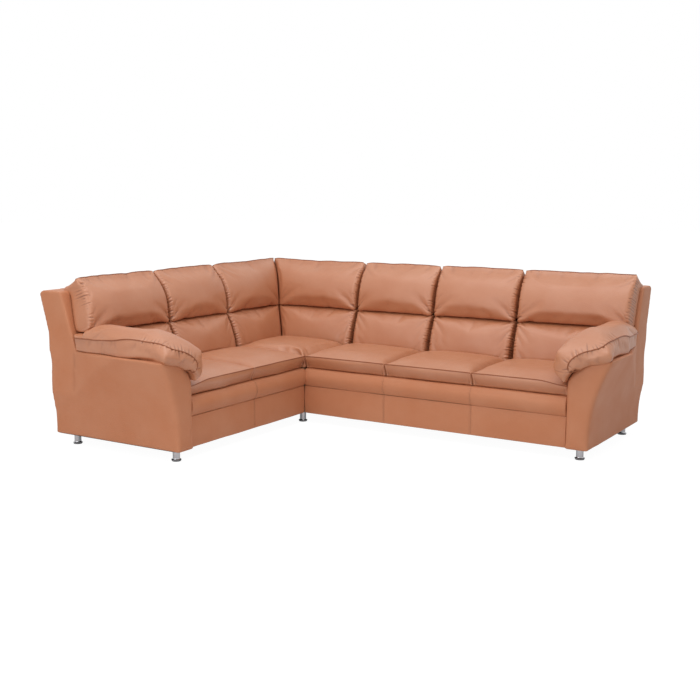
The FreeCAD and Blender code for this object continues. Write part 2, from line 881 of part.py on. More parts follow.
frontHold = frontRail[0] + thick / 2
backHold = springRail[0] + thick / 2
seat_springs("corner_section_seat_springs", shortWing, [
    (-shortEnd, innerSeam, frontHold, backHold),
    (innerSeam, zero, frontHold, backHold),
    (zero + thick, springRail[0], railInset + thick / 2, backHold),
])
longSeats = []
for i in range(3):
    start = thick * 1.5 if i == 0 else named("seat_pitch") * i
    longSeats.append((start, named("seat_pitch") * (i + 1), frontHold, backHold))
seat_springs("long_section_seat_springs", longWing, longSeats)

# Legs, their plates, blocks and floor pads, and the dust covers

legArm = named("leg_arm_in")
legIn = named("leg_in")
legFront = named("leg_front_in")
legBack = depth - named("leg_back_in")
cornerLegs = {
    "left_arm_front": (-shortEnd - legArm, legFront),
    "left_arm_back": (-shortEnd - legArm, legBack),
    "inner_corner": (legIn, legIn),
    "outer_corner": (legBack, legBack),
    "corner_join_back": (legBack, legIn),
}
longLegs = {
    "long_join_back": (legIn, legBack),
    "right_arm_front": (longEnd + legArm, legFront),
    "right_arm_back": (longEnd + legArm, legBack),
}
dustLow = under - named("dust_cover_thick")
legLow = named("pad_height")
bolt = named("bolt_radius")


def turned(name, corners, u, v):
    """A piece turned about the upright axis through (u, v), from its outline (radius, z)."""
    body = doc.addObject("PartDesign::Body", name)
    sketch = new_sketch(body, "XZ_Plane", name + "_outline")
    add_outline(sketch, corners)
    spin = body.newObject("PartDesign::Revolution", name + "_turn")
    spin.Profile = sketch
    spin.ReferenceAxis = (sketch, ["V_Axis"])
    spin.Angle = 360
    body.setExpression("Placement.Base.x", u.text)
    body.setExpression("Placement.Base.y", v.text)
    return body


def leg(name, u, v):
    """Chrome tube with a flared foot, a drilled floor for the floor pad's spigot and a bolt on its lid."""
    radius = named("leg_radius")
    bore = radius - named("leg_wall")
    foot = named("foot_radius")
    hole = named("spigot_radius") + named("thread_gap")
    lidLow = dustLow - named("leg_lid")
    corners = [
        (hole, legLow),
        (foot, legLow),
        (foot, legLow + named("foot_curl"), -named("foot_curl")),
        (radius, legLow + named("foot_rise")),
        (radius, dustLow),
        (bolt, dustLow),
        (bolt, dustLow + named("bolt_length")),
        (zero, dustLow + named("bolt_length")),
        (zero, lidLow),
        (bore, lidLow),
        (bore, named("leg_floor")),
        (hole, named("leg_floor")),
    ]
    return turned(name, corners, u, v)


def leg_plate(name, u, v):
    """Steel plate with a threaded boss for the leg's bolt."""
    half = named("plate_width") / 2
    top = under + named("plate_thick")
    plate = board(name + "_plate", (u - half, u + half), (v - half, v + half), (under, top))
    boss = drill(name + "_boss", u, v, named("boss_radius"), (top, top + named("boss_height")))
    through = (under - touch, top + named("boss_height") + touch)
    hole = drill(name + "_hole", u, v, bolt + named("thread_gap"), through)
    return cut(name, fuse(name + "_blank", [plate, boss]), [hole])


def leg_block(name, u, v):
    half = named("block_width") / 2
    low = under + named("plate_thick")
    block = board(name + "_block", (u - half, u + half), (v - half, v + half), (low, railLow))
    radius = named("boss_radius") + named("thread_gap") * 2
    hole = drill(name + "_hole", u, v, radius, (low - touch, railLow + touch))
    return cut(name, block, [hole])


def floor_pad(name, u, v):
    """Plastic disc under the foot, held by a spigot in the leg's floor."""
    disc = named("pad_radius")
    spigot = named("spigot_radius")
    edge = named("pad_edge")
    corners = [
        (zero, zero),
        (disc - edge, zero),
        (disc, edge),
        (disc, legLow),
        (spigot, legLow),
        (spigot, legLow + named("spigot_length")),
        (zero, legLow + named("spigot_length")),
    ]
    return turned(name, corners, u, v)


def under_side(section, wing, u0, u1, places):
    inset = named("dust_cover_inset")
    clothSheet = board(section + "_cloth", (u0, u1), (inset, named("back_rail_back")), (dustLow, under))
    radius = bolt + named("thread_gap") * 4
    through = (dustLow - touch, under + touch)
    holes = [drill(n + "_cloth_hole", u, v, radius, through) for n, (u, v) in places.items()]
    cloth = cut(section + "_cloth_cut", clothSheet, holes)
    parts.append(group(section + "_dust_cover", wing, [cloth]))
    kinds = {"_legs": leg, "_leg_plates": leg_plate, "_leg_blocks": leg_block, "_floor_pads": floor_pad}
    for kind, make in kinds.items():
        parts.append(group(section + kind, wing, [make(n + kind, u, v) for n, (u, v) in places.items()]))


edgeInset = named("arm_width") - named("dust_cover_inset")
under_side("corner_section", shortWing, -shortEnd - edgeInset, named("back_rail_back"), cornerLegs)
under_side("long_section", longWing, railInset, longEnd + edgeInset, longLegs)

# Connectors at the join: a socket on the corner section and a hook on the long section, which
# drops in from above, so the long section lifts straight up to come off

hookPlate = named("hook_plate")
tongueGap = named("tongue_gap")


def connector_socket(name, middle):
    half = named("hook_width") / 2
    slot = named("tongue_width") / 2 + tongueGap
    plate = (railInset - hookPlate, railInset)
    outer = plate[0] - hookPlate - tongueGap * 2
    low = named("socket_low")
    high = named("strap_high")
    pieces = [
        board(name + "_plate", (middle - half, middle + half), plate, (low, high)),
        board(name + "_cheek_a", (middle - half, middle - slot), (outer, plate[0]), (low, high)),
        board(name + "_cheek_b", (middle + slot, middle + half), (outer, plate[0]), (low, high)),
        board(name + "_strap", (middle - half, middle + half), (outer - hookPlate, outer), (low, high)),
    ]
    return fuse(name, pieces)


def connector_hook(name, middle):
    half = named("hook_width") / 2
    tongue = named("tongue_width") / 2
    plate = (railInset - hookPlate, railInset)
    far = -(railInset - hookPlate - tongueGap)
    high = named("hook_high")
    strap = named("strap_high")
    pieces = [
        board(name + "_plate", plate, (middle - half, middle + half), (named("hook_low"), high)),
        board(name + "_bridge", (far, plate[0]), (middle - tongue, middle + tongue), (strap + gap, high)),
        board(name + "_tongue", (far, far + hookPlate), (middle - tongue, middle + tongue),
              (named("tongue_low"), strap + gap)),
    ]
    return fuse(name, pieces)


hookPlaces = [named("near_hook"), named("far_hook")]
parts.append(group("connector_sockets", shortWing,
                   [connector_socket(f"socket_{i}", middle) for i, middle in enumerate(hookPlaces)]))
parts.append(group("connector_hooks", longWing,
                   [connector_hook(f"hook_{i}", middle) for i, middle in enumerate(hookPlaces)]))

# Round wall spacers, cut square to the wall and aslant to the leaning back


def wall_spacer(name, middle):
    radius = named("spacer_radius")
    height = named("spacer_height")
    lean = (named("back_peak") - named("back_high")) / (named("back_peak_height") - named("back_high_height"))
    rise = height - named("back_high_height")
    low = named("back_high") + lean * (rise - radius)
    high = named("back_high") + lean * (rise + radius)
    reach = named("spacer_reach")
    corners = [
        (low, height - radius),
        (reach, height - radius),
        (reach, height + radius),
        (high, height + radius),
    ]
    body = doc.addObject("PartDesign::Body", name)
    sketch = new_sketch(body, "YZ_Plane", name + "_side")
    add_outline(sketch, corners)
    pad = body.newObject("PartDesign::Pad", name + "_pad")
    pad.Profile = sketch
    pad.Midplane = True
    pad.setExpression("Length", (stock * 2).text)
    ring = new_sketch(body, "XZ_Plane", name + "_round")
    add_outline(ring, [(-stock, -stock), (stock, -stock), (stock, stock), (-stock, stock)])
    quarter = radius * (1 - math.sqrt(0.5))
    add_outline(ring, [
        (middle, height - radius, quarter),
        (middle + radius, height, quarter),
        (middle, height + radius, quarter),
        (middle - radius, height, quarter),
    ])
    pocket = body.newObject("PartDesign::Pocket", name + "_cut")
    pocket.Profile = ring
    pocket.Type = "ThroughAll"
    pocket.Midplane = True
    return body


spacers = [wall_spacer("spacer_0", -shortEnd + named("near_spacer")),
           wall_spacer("spacer_1", named("far_spacer"))]
parts.append(group("wall_spacers", shortWing, spacers))

doc.recompute()

# Check every object, then write each node
failed = [o.Name for o in doc.Objects if "Invalid" in o.State or "Error" in o.State]
if failed:
    raise ValueError(f"objects that failed: {failed}")
for part in parts:
    if part.Shape.isNull() or not part.Shape.isValid():
        raise ValueError(f"no valid shape: {part.Label}")
os.makedirs("parts", exist_ok=True)
whole = FreeCAD.BoundBox()
for part in parts:
    part.Shape.exportStep(f"parts/{part.Label}.step")
    whole.add(part.Shape.BoundBox)
    print(part.Label, len(part.Shape.Solids), round(part.Shape.Volume / 1e6, 3), "litres")
print(len(parts), "nodes, overall", whole)
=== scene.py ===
import math

import bmesh
import bpy
import numpy as np
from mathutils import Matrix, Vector
from mathutils.bvhtree import BVHTree


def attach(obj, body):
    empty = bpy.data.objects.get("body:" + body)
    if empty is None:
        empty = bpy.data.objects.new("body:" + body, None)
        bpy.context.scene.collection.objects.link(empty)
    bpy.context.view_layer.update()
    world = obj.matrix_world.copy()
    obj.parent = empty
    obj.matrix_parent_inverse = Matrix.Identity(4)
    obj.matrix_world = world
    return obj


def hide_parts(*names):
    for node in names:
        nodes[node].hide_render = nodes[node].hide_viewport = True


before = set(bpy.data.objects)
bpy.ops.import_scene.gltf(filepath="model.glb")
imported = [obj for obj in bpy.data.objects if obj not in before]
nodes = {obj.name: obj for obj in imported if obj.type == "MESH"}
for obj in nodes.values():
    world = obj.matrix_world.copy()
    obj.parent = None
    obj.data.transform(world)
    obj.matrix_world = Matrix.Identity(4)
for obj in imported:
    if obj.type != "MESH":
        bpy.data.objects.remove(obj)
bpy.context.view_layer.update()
scene = bpy.context.scene

# Points of a wing are (u, v, z): u along the wing, v back from its front face, z up,
# and zero where the two front faces meet. The short wing is turned a quarter turn.
cornerX = -0.4665
cornerY = 0.2035
shortEnd = -1.112
shortSeam = -0.530
longSeams = (0.556, 1.112)
longEnd = 1.668
wingDepth = 0.85
sectionOf = {"short": "corner_section", "long": "long_section"}
rootTwo = math.sqrt(2.0)
print("frame loaded")


def toWing(world, wing):
    x = world[:, 0] - cornerX
    y = world[:, 1] - cornerY
    if wing == "long":
        return np.column_stack((x, y, world[:, 2]))
    return np.column_stack((y, -x, world[:, 2]))


def fromWing(local, wing):
    local = np.asarray(local, dtype=float)
    u, v, z = local[:, 0], local[:, 1], local[:, 2]
    if wing == "long":
        return np.column_stack((cornerX + u, cornerY + v, z))
    return np.column_stack((cornerX - v, cornerY + u, z))


def smoothStep(value, low, high):
    t = np.clip((value - low) / (high - low), 0.0, 1.0)
    return t * t * (3.0 - 2.0 * t)


def roundOff(distance, reach, drop):  # how far a rounded shoulder falls near an edge
    t = np.clip(distance / reach, 0.0, 1.0)
    return drop * (1.0 - np.sqrt(np.clip(1.0 - (1.0 - t) ** 2, 0.0, 1.0)))


def softNoise(points, size, seed):  # smooth noise from -1 to 1, with lumps about this size
    cells = 32
    lattice = np.random.RandomState(seed).uniform(-1.0, 1.0, (cells, cells, cells))
    place = np.asarray(points) / size + 500.0
    cell = np.floor(place).astype(int)
    part = place - cell
    part = part * part * (3.0 - 2.0 * part)
    total = np.zeros(len(place))
    for step in np.ndindex(2, 2, 2):
        share = np.prod(np.where(step, part, 1 - part), axis=1)
        total += share * lattice[tuple((cell + step).T % cells)]
    return total


def ripple(local, *waves):  # each wave is its height, its size and a seed
    return sum(height * softNoise(local, size, seed) for height, size, seed in waves)


# Finishes
leatherLook = {
    "tan": (0.470, 0.174, 0.076),
    "pale": (0.545, 0.240, 0.128),
    # painted shade: the colour that hollows are darkened toward
    "paintedShadeColour": (0.200, 0.058, 0.020),
    "mottle": 0.5,  # how much pale shows in the mottle, and how much shows as painted highlight on ridges
    # painted highlight: how far convex ridges are lightened toward the pale colour
    "ridgeHighlight": 0.25,
    # painted shade: how far hollows are darkened
    "foldShade": 0.85,
    "roughness": 0.47,
    "gloss": 0.80,
    "coat": 0.25,
    "coatRoughness": 0.38,
    "grainPerMetre": 330.0,
    "grainDepth": 0.0007,
    "grainStrength": 0.5,
}
# painted shade: the piping is coloured darker than the leather to stand for the shadow line along its groove
pipingLook = dict(leatherLook, tan=(0.27, 0.085, 0.034), pale=(0.36, 0.125, 0.055), gloss=0.30, coat=0.0)
panelLook = dict(leatherLook, tan=(0.500, 0.183, 0.082), pale=(0.555, 0.240, 0.128), roughness=0.56,
                 gloss=0.42, coat=0.0)


def addNode(tree, kind, values=(), **settings):  # a shader node with these settings and input values
    node = tree.nodes.new(kind)
    for name, value in settings.items():
        setattr(node, name, value)
    for socket, value in dict(values).items():
        node.inputs[socket].default_value = value
    return node


def makeGrainGroup():  # pebbled grain for height, and a slow mottle for colour
    tree = bpy.data.node_groups.new("leatherGrain", "ShaderNodeTree")
    for name, direction, value in (("Grain per metre", "INPUT", 400.0), ("Mottle per metre", "INPUT", 5.0),
                                   ("Height", "OUTPUT", 0.0), ("Mottle", "OUTPUT", 0.0)):
        socket = tree.interface.new_socket(name=name, in_out=direction, socket_type="NodeSocketFloat")
        socket.default_value = value
    link = tree.links.new
    inputs = addNode(tree, "NodeGroupInput")
    outputs = addNode(tree, "NodeGroupOutput")
    place = addNode(tree, "ShaderNodeTexCoord")
    warp = addNode(tree, "ShaderNodeTexNoise", {"Scale": 60.0, "Detail": 2.0})
    bend = addNode(tree, "ShaderNodeVectorMath", {1: (0.004, 0.004, 0.004)}, operation="MULTIPLY_ADD")
    pebbles = addNode(tree, "ShaderNodeTexVoronoi", feature="SMOOTH_F1")
    wider = addNode(tree, "ShaderNodeMath", {1: 0.31}, operation="MULTIPLY")
    creases = addNode(tree, "ShaderNodeTexVoronoi", feature="DISTANCE_TO_EDGE")
    line = addNode(tree, "ShaderNodeMapRange", {"From Max": 0.12})
    blend = addNode(tree, "ShaderNodeMath", {1: -0.8}, operation="MULTIPLY_ADD")
    mottle = addNode(tree, "ShaderNodeTexNoise", {"Detail": 5.0, "Roughness": 0.55})
    link(place.outputs["Object"], warp.inputs["Vector"])
    link(warp.outputs["Color"], bend.inputs[0])
    link(place.outputs["Object"], bend.inputs[2])
    link(bend.outputs["Vector"], pebbles.inputs["Vector"])
    link(bend.outputs["Vector"], creases.inputs["Vector"])
    link(inputs.outputs["Grain per metre"], pebbles.inputs["Scale"])
    link(inputs.outputs["Grain per metre"], wider.inputs[0])
    link(wider.outputs["Value"], creases.inputs["Scale"])
    link(creases.outputs["Distance"], line.inputs["Value"])
    link(pebbles.outputs["Distance"], blend.inputs[0])
    link(line.outputs["Result"], blend.inputs[2])
    link(blend.outputs["Value"], outputs.inputs["Height"])
    link(place.outputs["Object"], mottle.inputs["Vector"])
    link(inputs.outputs["Mottle per metre"], mottle.inputs["Scale"])
    link(mottle.outputs["Fac"], outputs.inputs["Mottle"])
    return tree


def newFinish(name, colour, roughness, metallic=0.0):
    finish = bpy.data.materials.new(name)
    finish.use_nodes = True
    shader = finish.node_tree.nodes["Principled BSDF"]
    shader.inputs["Base Color"].default_value = (*colour, 1.0)
    shader.inputs["Roughness"].default_value = roughness
    shader.inputs["Metallic"].default_value = metallic
    return finish, finish.node_tree, shader


def mixColour(tree, first, second, amount):
    mix = addNode(tree, "ShaderNodeMix", data_type="RGBA")
    for socket, value in ((0, amount), (6, first), (7, second)):
        if isinstance(value, tuple):
            mix.inputs[socket].default_value = (*value, 1.0)
        else:
            tree.links.new(value, mix.inputs[socket])
    return mix.outputs[2]


def ramp(tree, value, low, high, outLow, outHigh):
    span = addNode(tree, "ShaderNodeMapRange", {"From Min": low, "From Max": high, "To Min": outLow,
                                                "To Max": outHigh})
    tree.links.new(value, span.inputs["Value"])
    return span.outputs["Result"]


def addBump(tree, shader, height, distance, strength=1.0):
    bump = addNode(tree, "ShaderNodeBump", {"Strength": strength, "Distance": distance})
    tree.links.new(height, bump.inputs["Height"])
    tree.links.new(bump.outputs["Normal"], shader.inputs["Normal"])


grainGroup = makeGrainGroup()


def makeLeather(name, look):
    rough = look["roughness"]
    finish, tree, shader = newFinish(name, look["tan"], rough)
    grain = addNode(tree, "ShaderNodeGroup", {"Grain per metre": look["grainPerMetre"]}, node_tree=grainGroup)
    fold = addNode(tree, "ShaderNodeAttribute", attribute_name="fold").outputs["Fac"]
    mottle = grain.outputs["Mottle"]
    mottled = mixColour(tree, look["tan"], look["pale"], ramp(tree, mottle, 0.35, 0.72, 0.0, look["mottle"]))
    # painted highlight: ridges, where the fold value is below 0, are mixed toward the pale colour
    ridgeHighlighted = mixColour(tree, mottled, look["pale"], ramp(tree, fold, 0.0, -1.0, 0.0, look["ridgeHighlight"]))
    # painted shade: hollows, where the fold value is above 0, are mixed toward the dark shade colour
    foldShaded = mixColour(tree, ridgeHighlighted, look["paintedShadeColour"], ramp(tree, fold, 0.02, 1.0, 0.0, look["foldShade"]))
    tree.links.new(foldShaded, shader.inputs["Base Color"])
    tree.links.new(ramp(tree, mottle, 0.3, 0.7, rough + 0.05, rough - 0.04), shader.inputs["Roughness"])
    addBump(tree, shader, grain.outputs["Height"], look["grainDepth"], look["grainStrength"])
    shader.inputs["Specular IOR Level"].default_value = look["gloss"]
    shader.inputs["Coat Weight"].default_value = look["coat"]
    shader.inputs["Coat Roughness"].default_value = look["coatRoughness"]
    return finish


def makeThread():
    finish, tree, shader = newFinish("stitchThread", (0.30, 0.125, 0.062), 0.6)
    twist = addNode(tree, "ShaderNodeTexNoise", {"Scale": 900.0})
    tree.links.new(mixColour(tree, (0.33, 0.14, 0.07), (0.22, 0.085, 0.04), twist.outputs["Fac"]),
                   shader.inputs["Base Color"])
    return finish


def makeMetal(name, colour, roughness, streaks):
    finish, tree, shader = newFinish(name, colour, roughness, 1.0)
    smudge = addNode(tree, "ShaderNodeTexNoise", {"Scale": streaks, "Detail": 4.0})
    tree.links.new(ramp(tree, smudge.outputs["Fac"], 0.35, 0.7, roughness, roughness + 0.09),
                   shader.inputs["Roughness"])
    return finish


def makeTimber():
    finish, tree, shader = newFinish("frameTimber", (0.52, 0.36, 0.20), 0.65)
    place = addNode(tree, "ShaderNodeTexCoord")
    stretch = addNode(tree, "ShaderNodeMapping", {"Scale": (6.0, 60.0, 60.0)})
    grain = addNode(tree, "ShaderNodeTexNoise", {"Scale": 2.0, "Detail": 6.0})
    tree.links.new(place.outputs["Object"], stretch.inputs["Vector"])
    tree.links.new(stretch.outputs["Vector"], grain.inputs["Vector"])
    tree.links.new(mixColour(tree, (0.60, 0.44, 0.27), (0.40, 0.25, 0.12), grain.outputs["Fac"]),
                   shader.inputs["Base Color"])
    addBump(tree, shader, grain.outputs["Fac"], 0.0004)
    return finish


def makeWoven(name, colour, roughness):  # felted lining cloth and moulded plastic
    finish, tree, shader = newFinish(name, colour, roughness)
    fibre = addNode(tree, "ShaderNodeTexNoise", {"Scale": 700.0, "Detail": 3.0})
    lighter = tuple(c * 1.8 + 0.01 for c in colour)
    tree.links.new(mixColour(tree, colour, lighter, fibre.outputs["Fac"]), shader.inputs["Base Color"])
    addBump(tree, shader, fibre.outputs["Fac"], 0.0003)
    return finish


leather = makeLeather("tanLeather", leatherLook)
pipingLeatherShaded = makeLeather("pipingLeatherShaded", pipingLook)
panelLeather = makeLeather("panelLeather", panelLook)
thread = makeThread()
chrome = makeMetal("polishedChrome", (0.50, 0.50, 0.52), 0.10, 30.0)
steel = makeMetal("zincSteel", (0.52, 0.53, 0.55), 0.32, 45.0)
springSteel = makeMetal("springSteel", (0.30, 0.31, 0.34), 0.30, 60.0)
timber = makeTimber()
blackCloth = makeWoven("blackLining", (0.012, 0.012, 0.013), 0.9)
blackPlastic = makeWoven("blackPlastic", (0.018, 0.018, 0.020), 0.45)
greyPlastic = makeWoven("greyPlastic", (0.20, 0.20, 0.21), 0.4)

finishOf = {  # by how a node's name ends
    "legs": chrome, "floor_pads": blackPlastic, "dust_cover": blackCloth, "leg_plates": steel,
    "leg_blocks": timber, "front_rail": timber, "back_rail": timber, "cross_rails": timber,
    "spring_rails": timber, "back_frame": timber, "arm_frame": timber, "seat_springs": springSteel,
    "connector_hooks": steel, "connector_sockets": steel, "wall_spacers": greyPlastic,
}
for name, node in nodes.items():
    for ending, finish in finishOf.items():
        if name.endswith(ending):
            if not node.material_slots:
                node.data.materials.append(finish)
            for slot in node.material_slots:
                slot.link = "OBJECT"
                slot.material = finish
print("finishes made")


# Mesh handling
def addPiece(name, mesh):
    piece = bpy.data.objects.new(name, mesh)
    scene.collection.objects.link(piece)
    return piece


def pieceFrom(shape, name):  # a finished bmesh as a new piece
    mesh = bpy.data.meshes.new(name)
    shape.to_mesh(mesh)
    shape.free()
    return addPiece(name, mesh)


def settle(piece):  # what the modifiers make becomes the piece's own mesh
    graph = bpy.context.evaluated_depsgraph_get()
    mesh = bpy.data.meshes.new_from_object(piece.evaluated_get(graph))
    piece.modifiers.clear()
    piece.data = mesh


def modify(piece, kind, **settings):  # one modifier, applied at once
    modifier = piece.modifiers.new(kind, kind)
    for name, value in settings.items():
        setattr(modifier, name, value)
    settle(piece)


def skinOf(parts, name, voxel, rounds):  # a fresh even skin over CAD solids, softened at its edges
    shape = bmesh.new()
    for part in parts:
        shape.from_mesh(nodes[part].data)
    bmesh.ops.remove_doubles(shape, verts=shape.verts, dist=1e-5)
    piece = pieceFrom(shape, name)
    modify(piece, "REMESH", mode="VOXEL", voxel_size=voxel)
    modify(piece, "SMOOTH", iterations=rounds)
    return piece


def readPoints(piece, kind="co"):  # its normals, where the kind is "normal"
    values = np.empty(len(piece.data.vertices) * 3, dtype=np.float32)
    piece.data.vertices.foreach_get(kind, values)
    return values.reshape(-1, 3).astype(float)


def writePoints(piece, points):
    piece.data.vertices.foreach_set("co", np.asarray(points, dtype=np.float32).ravel())
    piece.data.update()


def wingPoints(piece, wing):
    return toWing(readPoints(piece), wing)


def placePoints(piece, local, wing):
    writePoints(piece, fromWing(local, wing))


def swell(piece, wing, local, field):  # moves points along the surface's normals by this much
    normals = toWing(readPoints(piece, "normal") + (cornerX, cornerY, 0.0), wing)
    return local + normals * field[:, None]


def edgePairs(piece):  # the two points of each edge, and how many edges meet at each point
    pairs = np.empty(len(piece.data.edges) * 2, dtype=np.int32)
    piece.data.edges.foreach_get("vertices", pairs)
    count = np.maximum(np.bincount(pairs, minlength=len(piece.data.vertices)), 1).astype(float)
    return pairs.reshape(-1, 2), count


def neighbourMean(values, pairs, count):
    columns = values.reshape(len(values), -1)
    ends = np.concatenate((pairs[:, 0], pairs[:, 1]))
    others = np.concatenate((pairs[:, 1], pairs[:, 0]))
    total = np.column_stack([np.bincount(ends, column[others], len(values)) for column in columns.T])
    return (total / count[:, None]).reshape(values.shape)


def markFolds(piece):  # hollows count up to 1 and ridges down to -1; the leather uses it for painted shade in hollows and painted highlight on ridges
    gain, rounds = 9.0, 2
    points = readPoints(piece)
    pairs, count = edgePairs(piece)
    length = np.linalg.norm(points[pairs[:, 0]] - points[pairs[:, 1]], axis=1).mean()
    away = neighbourMean(points, pairs, count) - points
    hollow = np.einsum("ij,ij->i", away, readPoints(piece, "normal")) / length
    for i in range(rounds):
        hollow = 0.5 * hollow + 0.5 * neighbourMean(hollow, pairs, count)
    attribute = piece.data.attributes.new("fold", "FLOAT", "POINT")
    attribute.data.foreach_set("value", np.clip(hollow * gain, -1.0, 1.0).astype(np.float32))


def pleatField(points, pleats):  # narrow gathers: a groove with a ridge on each side
    total = np.zeros(len(points))
    for start, head, side, length, width, depth in pleats:
        reach = points - start
        near = np.einsum("ij,ij->i", reach, reach) < (length * 1.3) ** 2
        local = reach[near]
        along = local @ head
        across = (local @ side) / width
        fade = smoothStep(along, -0.25 * length, 0.0) * (1.0 - smoothStep(along, 0.15 * length, length))
        total[near] -= depth * fade * (1.0 - across ** 2) * np.exp(-0.5 * across ** 2)
    return total


def relax(piece, rounds, weight):  # evens out a skin, more where the weight is higher
    step = 0.6
    points = readPoints(piece)
    pairs, count = edgePairs(piece)
    weight = np.broadcast_to(weight, (len(points),))[:, None] * step
    for i in range(rounds):
        points = points + (neighbourMean(points, pairs, count) - points) * weight
    writePoints(piece, points)


def evenPath(path, step):  # points at equal steps along a line
    path = np.asarray(path, dtype=float)
    run = np.concatenate(([0.0], np.cumsum(np.linalg.norm(np.diff(path, axis=0), axis=1))))
    count = max(int(run[-1] / step), 2)
    marks = np.linspace(0.0, run[-1], count + 1)
    return np.column_stack([np.interp(marks, run, path[:, i]) for i in range(3)])


def calmPath(path, rounds):
    path = np.array(path, dtype=float)
    for i in range(rounds):
        path[1:-1] = 0.25 * path[:-2] + 0.5 * path[1:-1] + 0.25 * path[2:]
    return path


keptFaces = 0.58  # share of the faces that a finished leather skin keeps


def dress(piece, body, replaced, finish):
    piece.data.materials.clear()
    piece.data.materials.append(finish)
    for face in piece.data.polygons:
        face.use_smooth = True
    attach(piece, body)
    if replaced:
        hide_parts(*replaced)


def finishSkin(piece, body, replaced, finish):
    markFolds(piece)
    modify(piece, "DECIMATE", ratio=keptFaces)
    dress(piece, body, replaced, finish)


def tube(name, path, radius, body, finish):  # a round cord laid along a line, as mesh
    curve = bpy.data.curves.new(name + "Line", "CURVE")
    curve.dimensions = "3D"
    curve.bevel_depth = radius
    curve.bevel_resolution = 2
    curve.use_fill_caps = True
    line = curve.splines.new("POLY")
    line.points.add(len(path) - 1)
    for point, place in zip(line.points, path):
        point.co = (*place, 1.0)
    holder = addPiece(name + "Line", curve)
    mesh = bpy.data.meshes.new_from_object(holder.evaluated_get(bpy.context.evaluated_depsgraph_get()))
    bpy.data.objects.remove(holder)
    mesh.name = name
    dress(addPiece(name, mesh), body, [], finish)


# Cushions to be filled by the cloth simulation, with what is known of each
seatLook = {
    "kind": "seat", "voxel": 0.008, "rounds": 2, "fill": 0.75, "cap": 0.022, "extra": 0.006,
    "shoulder": 0.058, "valley": 0.027, "crown": 0.010, "endDrop": 0.020, "endReach": 0.17,
    "undercut": 0.020, "pipingRadius": 0.0031, "pinch": 0.60, "underside": 0.3405, "backStop": 0.5275,
}
lumbarLook = {
    "kind": "lumbar", "voxel": 0.008, "rounds": 3, "fill": 0.8, "cap": 0.024, "extra": 0.008,
    "shoulder": 0.028, "valley": 0.015, "pleatDepth": 0.0027, "pleatsFrom": 0.37, "pleatsTo": 0.635,
    "low": 0.340, "tall": 0.300, "front": 0.532, "lean": 0.084, "bow": 0.085,
}
bolsterLook = dict(
    lumbarLook, kind="bolster", valley=0.016, pleatsFrom=0.66, pleatsTo=0.915,
    low=0.648, tall=0.289, front=0.612, lean=0.118, bow=0.140, overhang=0.140, endPull=0.022, endLean=0.034,
    topFall=0.036, pipingRadius=0.0026, pinch=0.65, ridgeBack=0.738, ridgeHeight=0.949, notch=0.010,
)
padLook = {
    "kind": "pad", "voxel": 0.008, "rounds": 6, "fill": 0.85, "cap": 0.022, "extra": 0.012,
    "pipingRadius": 0.0036, "pinch": 0.62, "pleatDepth": 0.0024,
    "noseBack": {"short": 0.015, "long": 0.005}, "borderSag": 0.016, "armTop": 0.5575,
    # Outward from the arm's inner edge, back from the seat front, and height
    "piping": ((0.205, 0.700, 0.622), (0.203, 0.620, 0.626), (0.203, 0.408, 0.634), (0.203, 0.227, 0.645),
               (0.203, 0.128, 0.643), (0.203, 0.020, 0.642), (0.200, -0.045, 0.640), (0.175, -0.075, 0.632),
               (0.102, -0.085, 0.601), (0.044, -0.082, 0.556), (0.016, -0.078, 0.509), (0.040, -0.072, 0.472),
               (0.080, -0.066, 0.453)),
}

softPieces = []


def softPiece(node, wing, span, look, mitre=0, end=None):
    piece = skinOf([node], node + "_leather", look["voxel"], look["rounds"])
    softPieces.append({"piece": piece, "node": node, "wing": wing, "span": span, "kind": look["kind"],
                       "look": look, "mitre": mitre, "end": end,
                       "body": "corner_section" if mitre else sectionOf[wing]})


for name, wing, span, end in (
    ("by_left_arm", "short", (shortEnd, shortSeam), "left"),
    ("short_wing", "short", (shortSeam, 0.0), None),
    ("corner", "short", (0.0, 0.528), None),
    ("long_wing_left", "long", (0.0, longSeams[0]), None),
    ("long_wing_middle", "long", longSeams, None),
    ("by_right_arm", "long", (longSeams[1], longEnd), "right"),
):
    softPiece("seat_cushion_" + name, wing, span, seatLook, 0, end)

for number, wing, left, right, mitre, end in (
    (1, "short", shortEnd, -0.536, 0, "left"),
    (2, "short", -0.536, 0.040, 0, None),
    (3, "short", 0.040, wingDepth, 1, None),
    (4, "long", -wingDepth, 0.0, -1, None),
    (5, "long", 0.0, longSeams[0], 0, None),
    (6, "long", *longSeams, 0, None),
    (7, "long", longSeams[1], longEnd, 0, "right"),
):
    softPiece(f"lumbar_cushion_{number}", wing, (left, right), lumbarLook, mitre)
    left -= bolsterLook["overhang"] if end == "left" else 0.0
    right += bolsterLook["overhang"] if end == "right" else 0.0
    softPiece(f"head_bolster_{number}", wing, (left, right), bolsterLook, mitre, end)

# A pad's span is the inner edge of its arm, and the way out from there
softPiece("left_arm_pad", "short", (shortEnd, -1.0), padLook)
softPiece("right_arm_pad", "long", (longEnd, 1.0), padLook)
print("soft pieces skinned:", len(softPieces))


def frontAt(look, z):  # where the front face of a back cushion is at a height
    t = np.clip((z - look["low"]) / look["tall"], 0.0, 1.0)
    return look["front"] + look["lean"] * t - look["bow"] * t * (1.0 - t)


def sideDistances(item, local):
    u, v = local[:, 0], local[:, 1]
    left, right = item["span"]
    inset = 0.0 if item["kind"] == "seat" else 0.015 * np.clip((wingDepth - v) / 0.378, 0.0, 1.0)
    toLeft = u - left - inset
    toRight = right - u - inset
    if item["mitre"] > 0:
        toRight = (v - u) / rootTwo
    if item["mitre"] < 0:
        toLeft = (u + v) / rootTwo
    return toLeft, toRight


def sideFall(toLeft, toRight, reach, drop, shares=(1.0, 1.0)):
    return roundOff(toLeft, reach, drop) * shares[0] + roundOff(toRight, reach, drop) * shares[1]


def creaseHeight(v):  # the surface where a bolster rests on the lumbar cushion below it
    return 0.6475 - 0.012 * (1.0 - smoothStep(v, 0.600, 0.645))


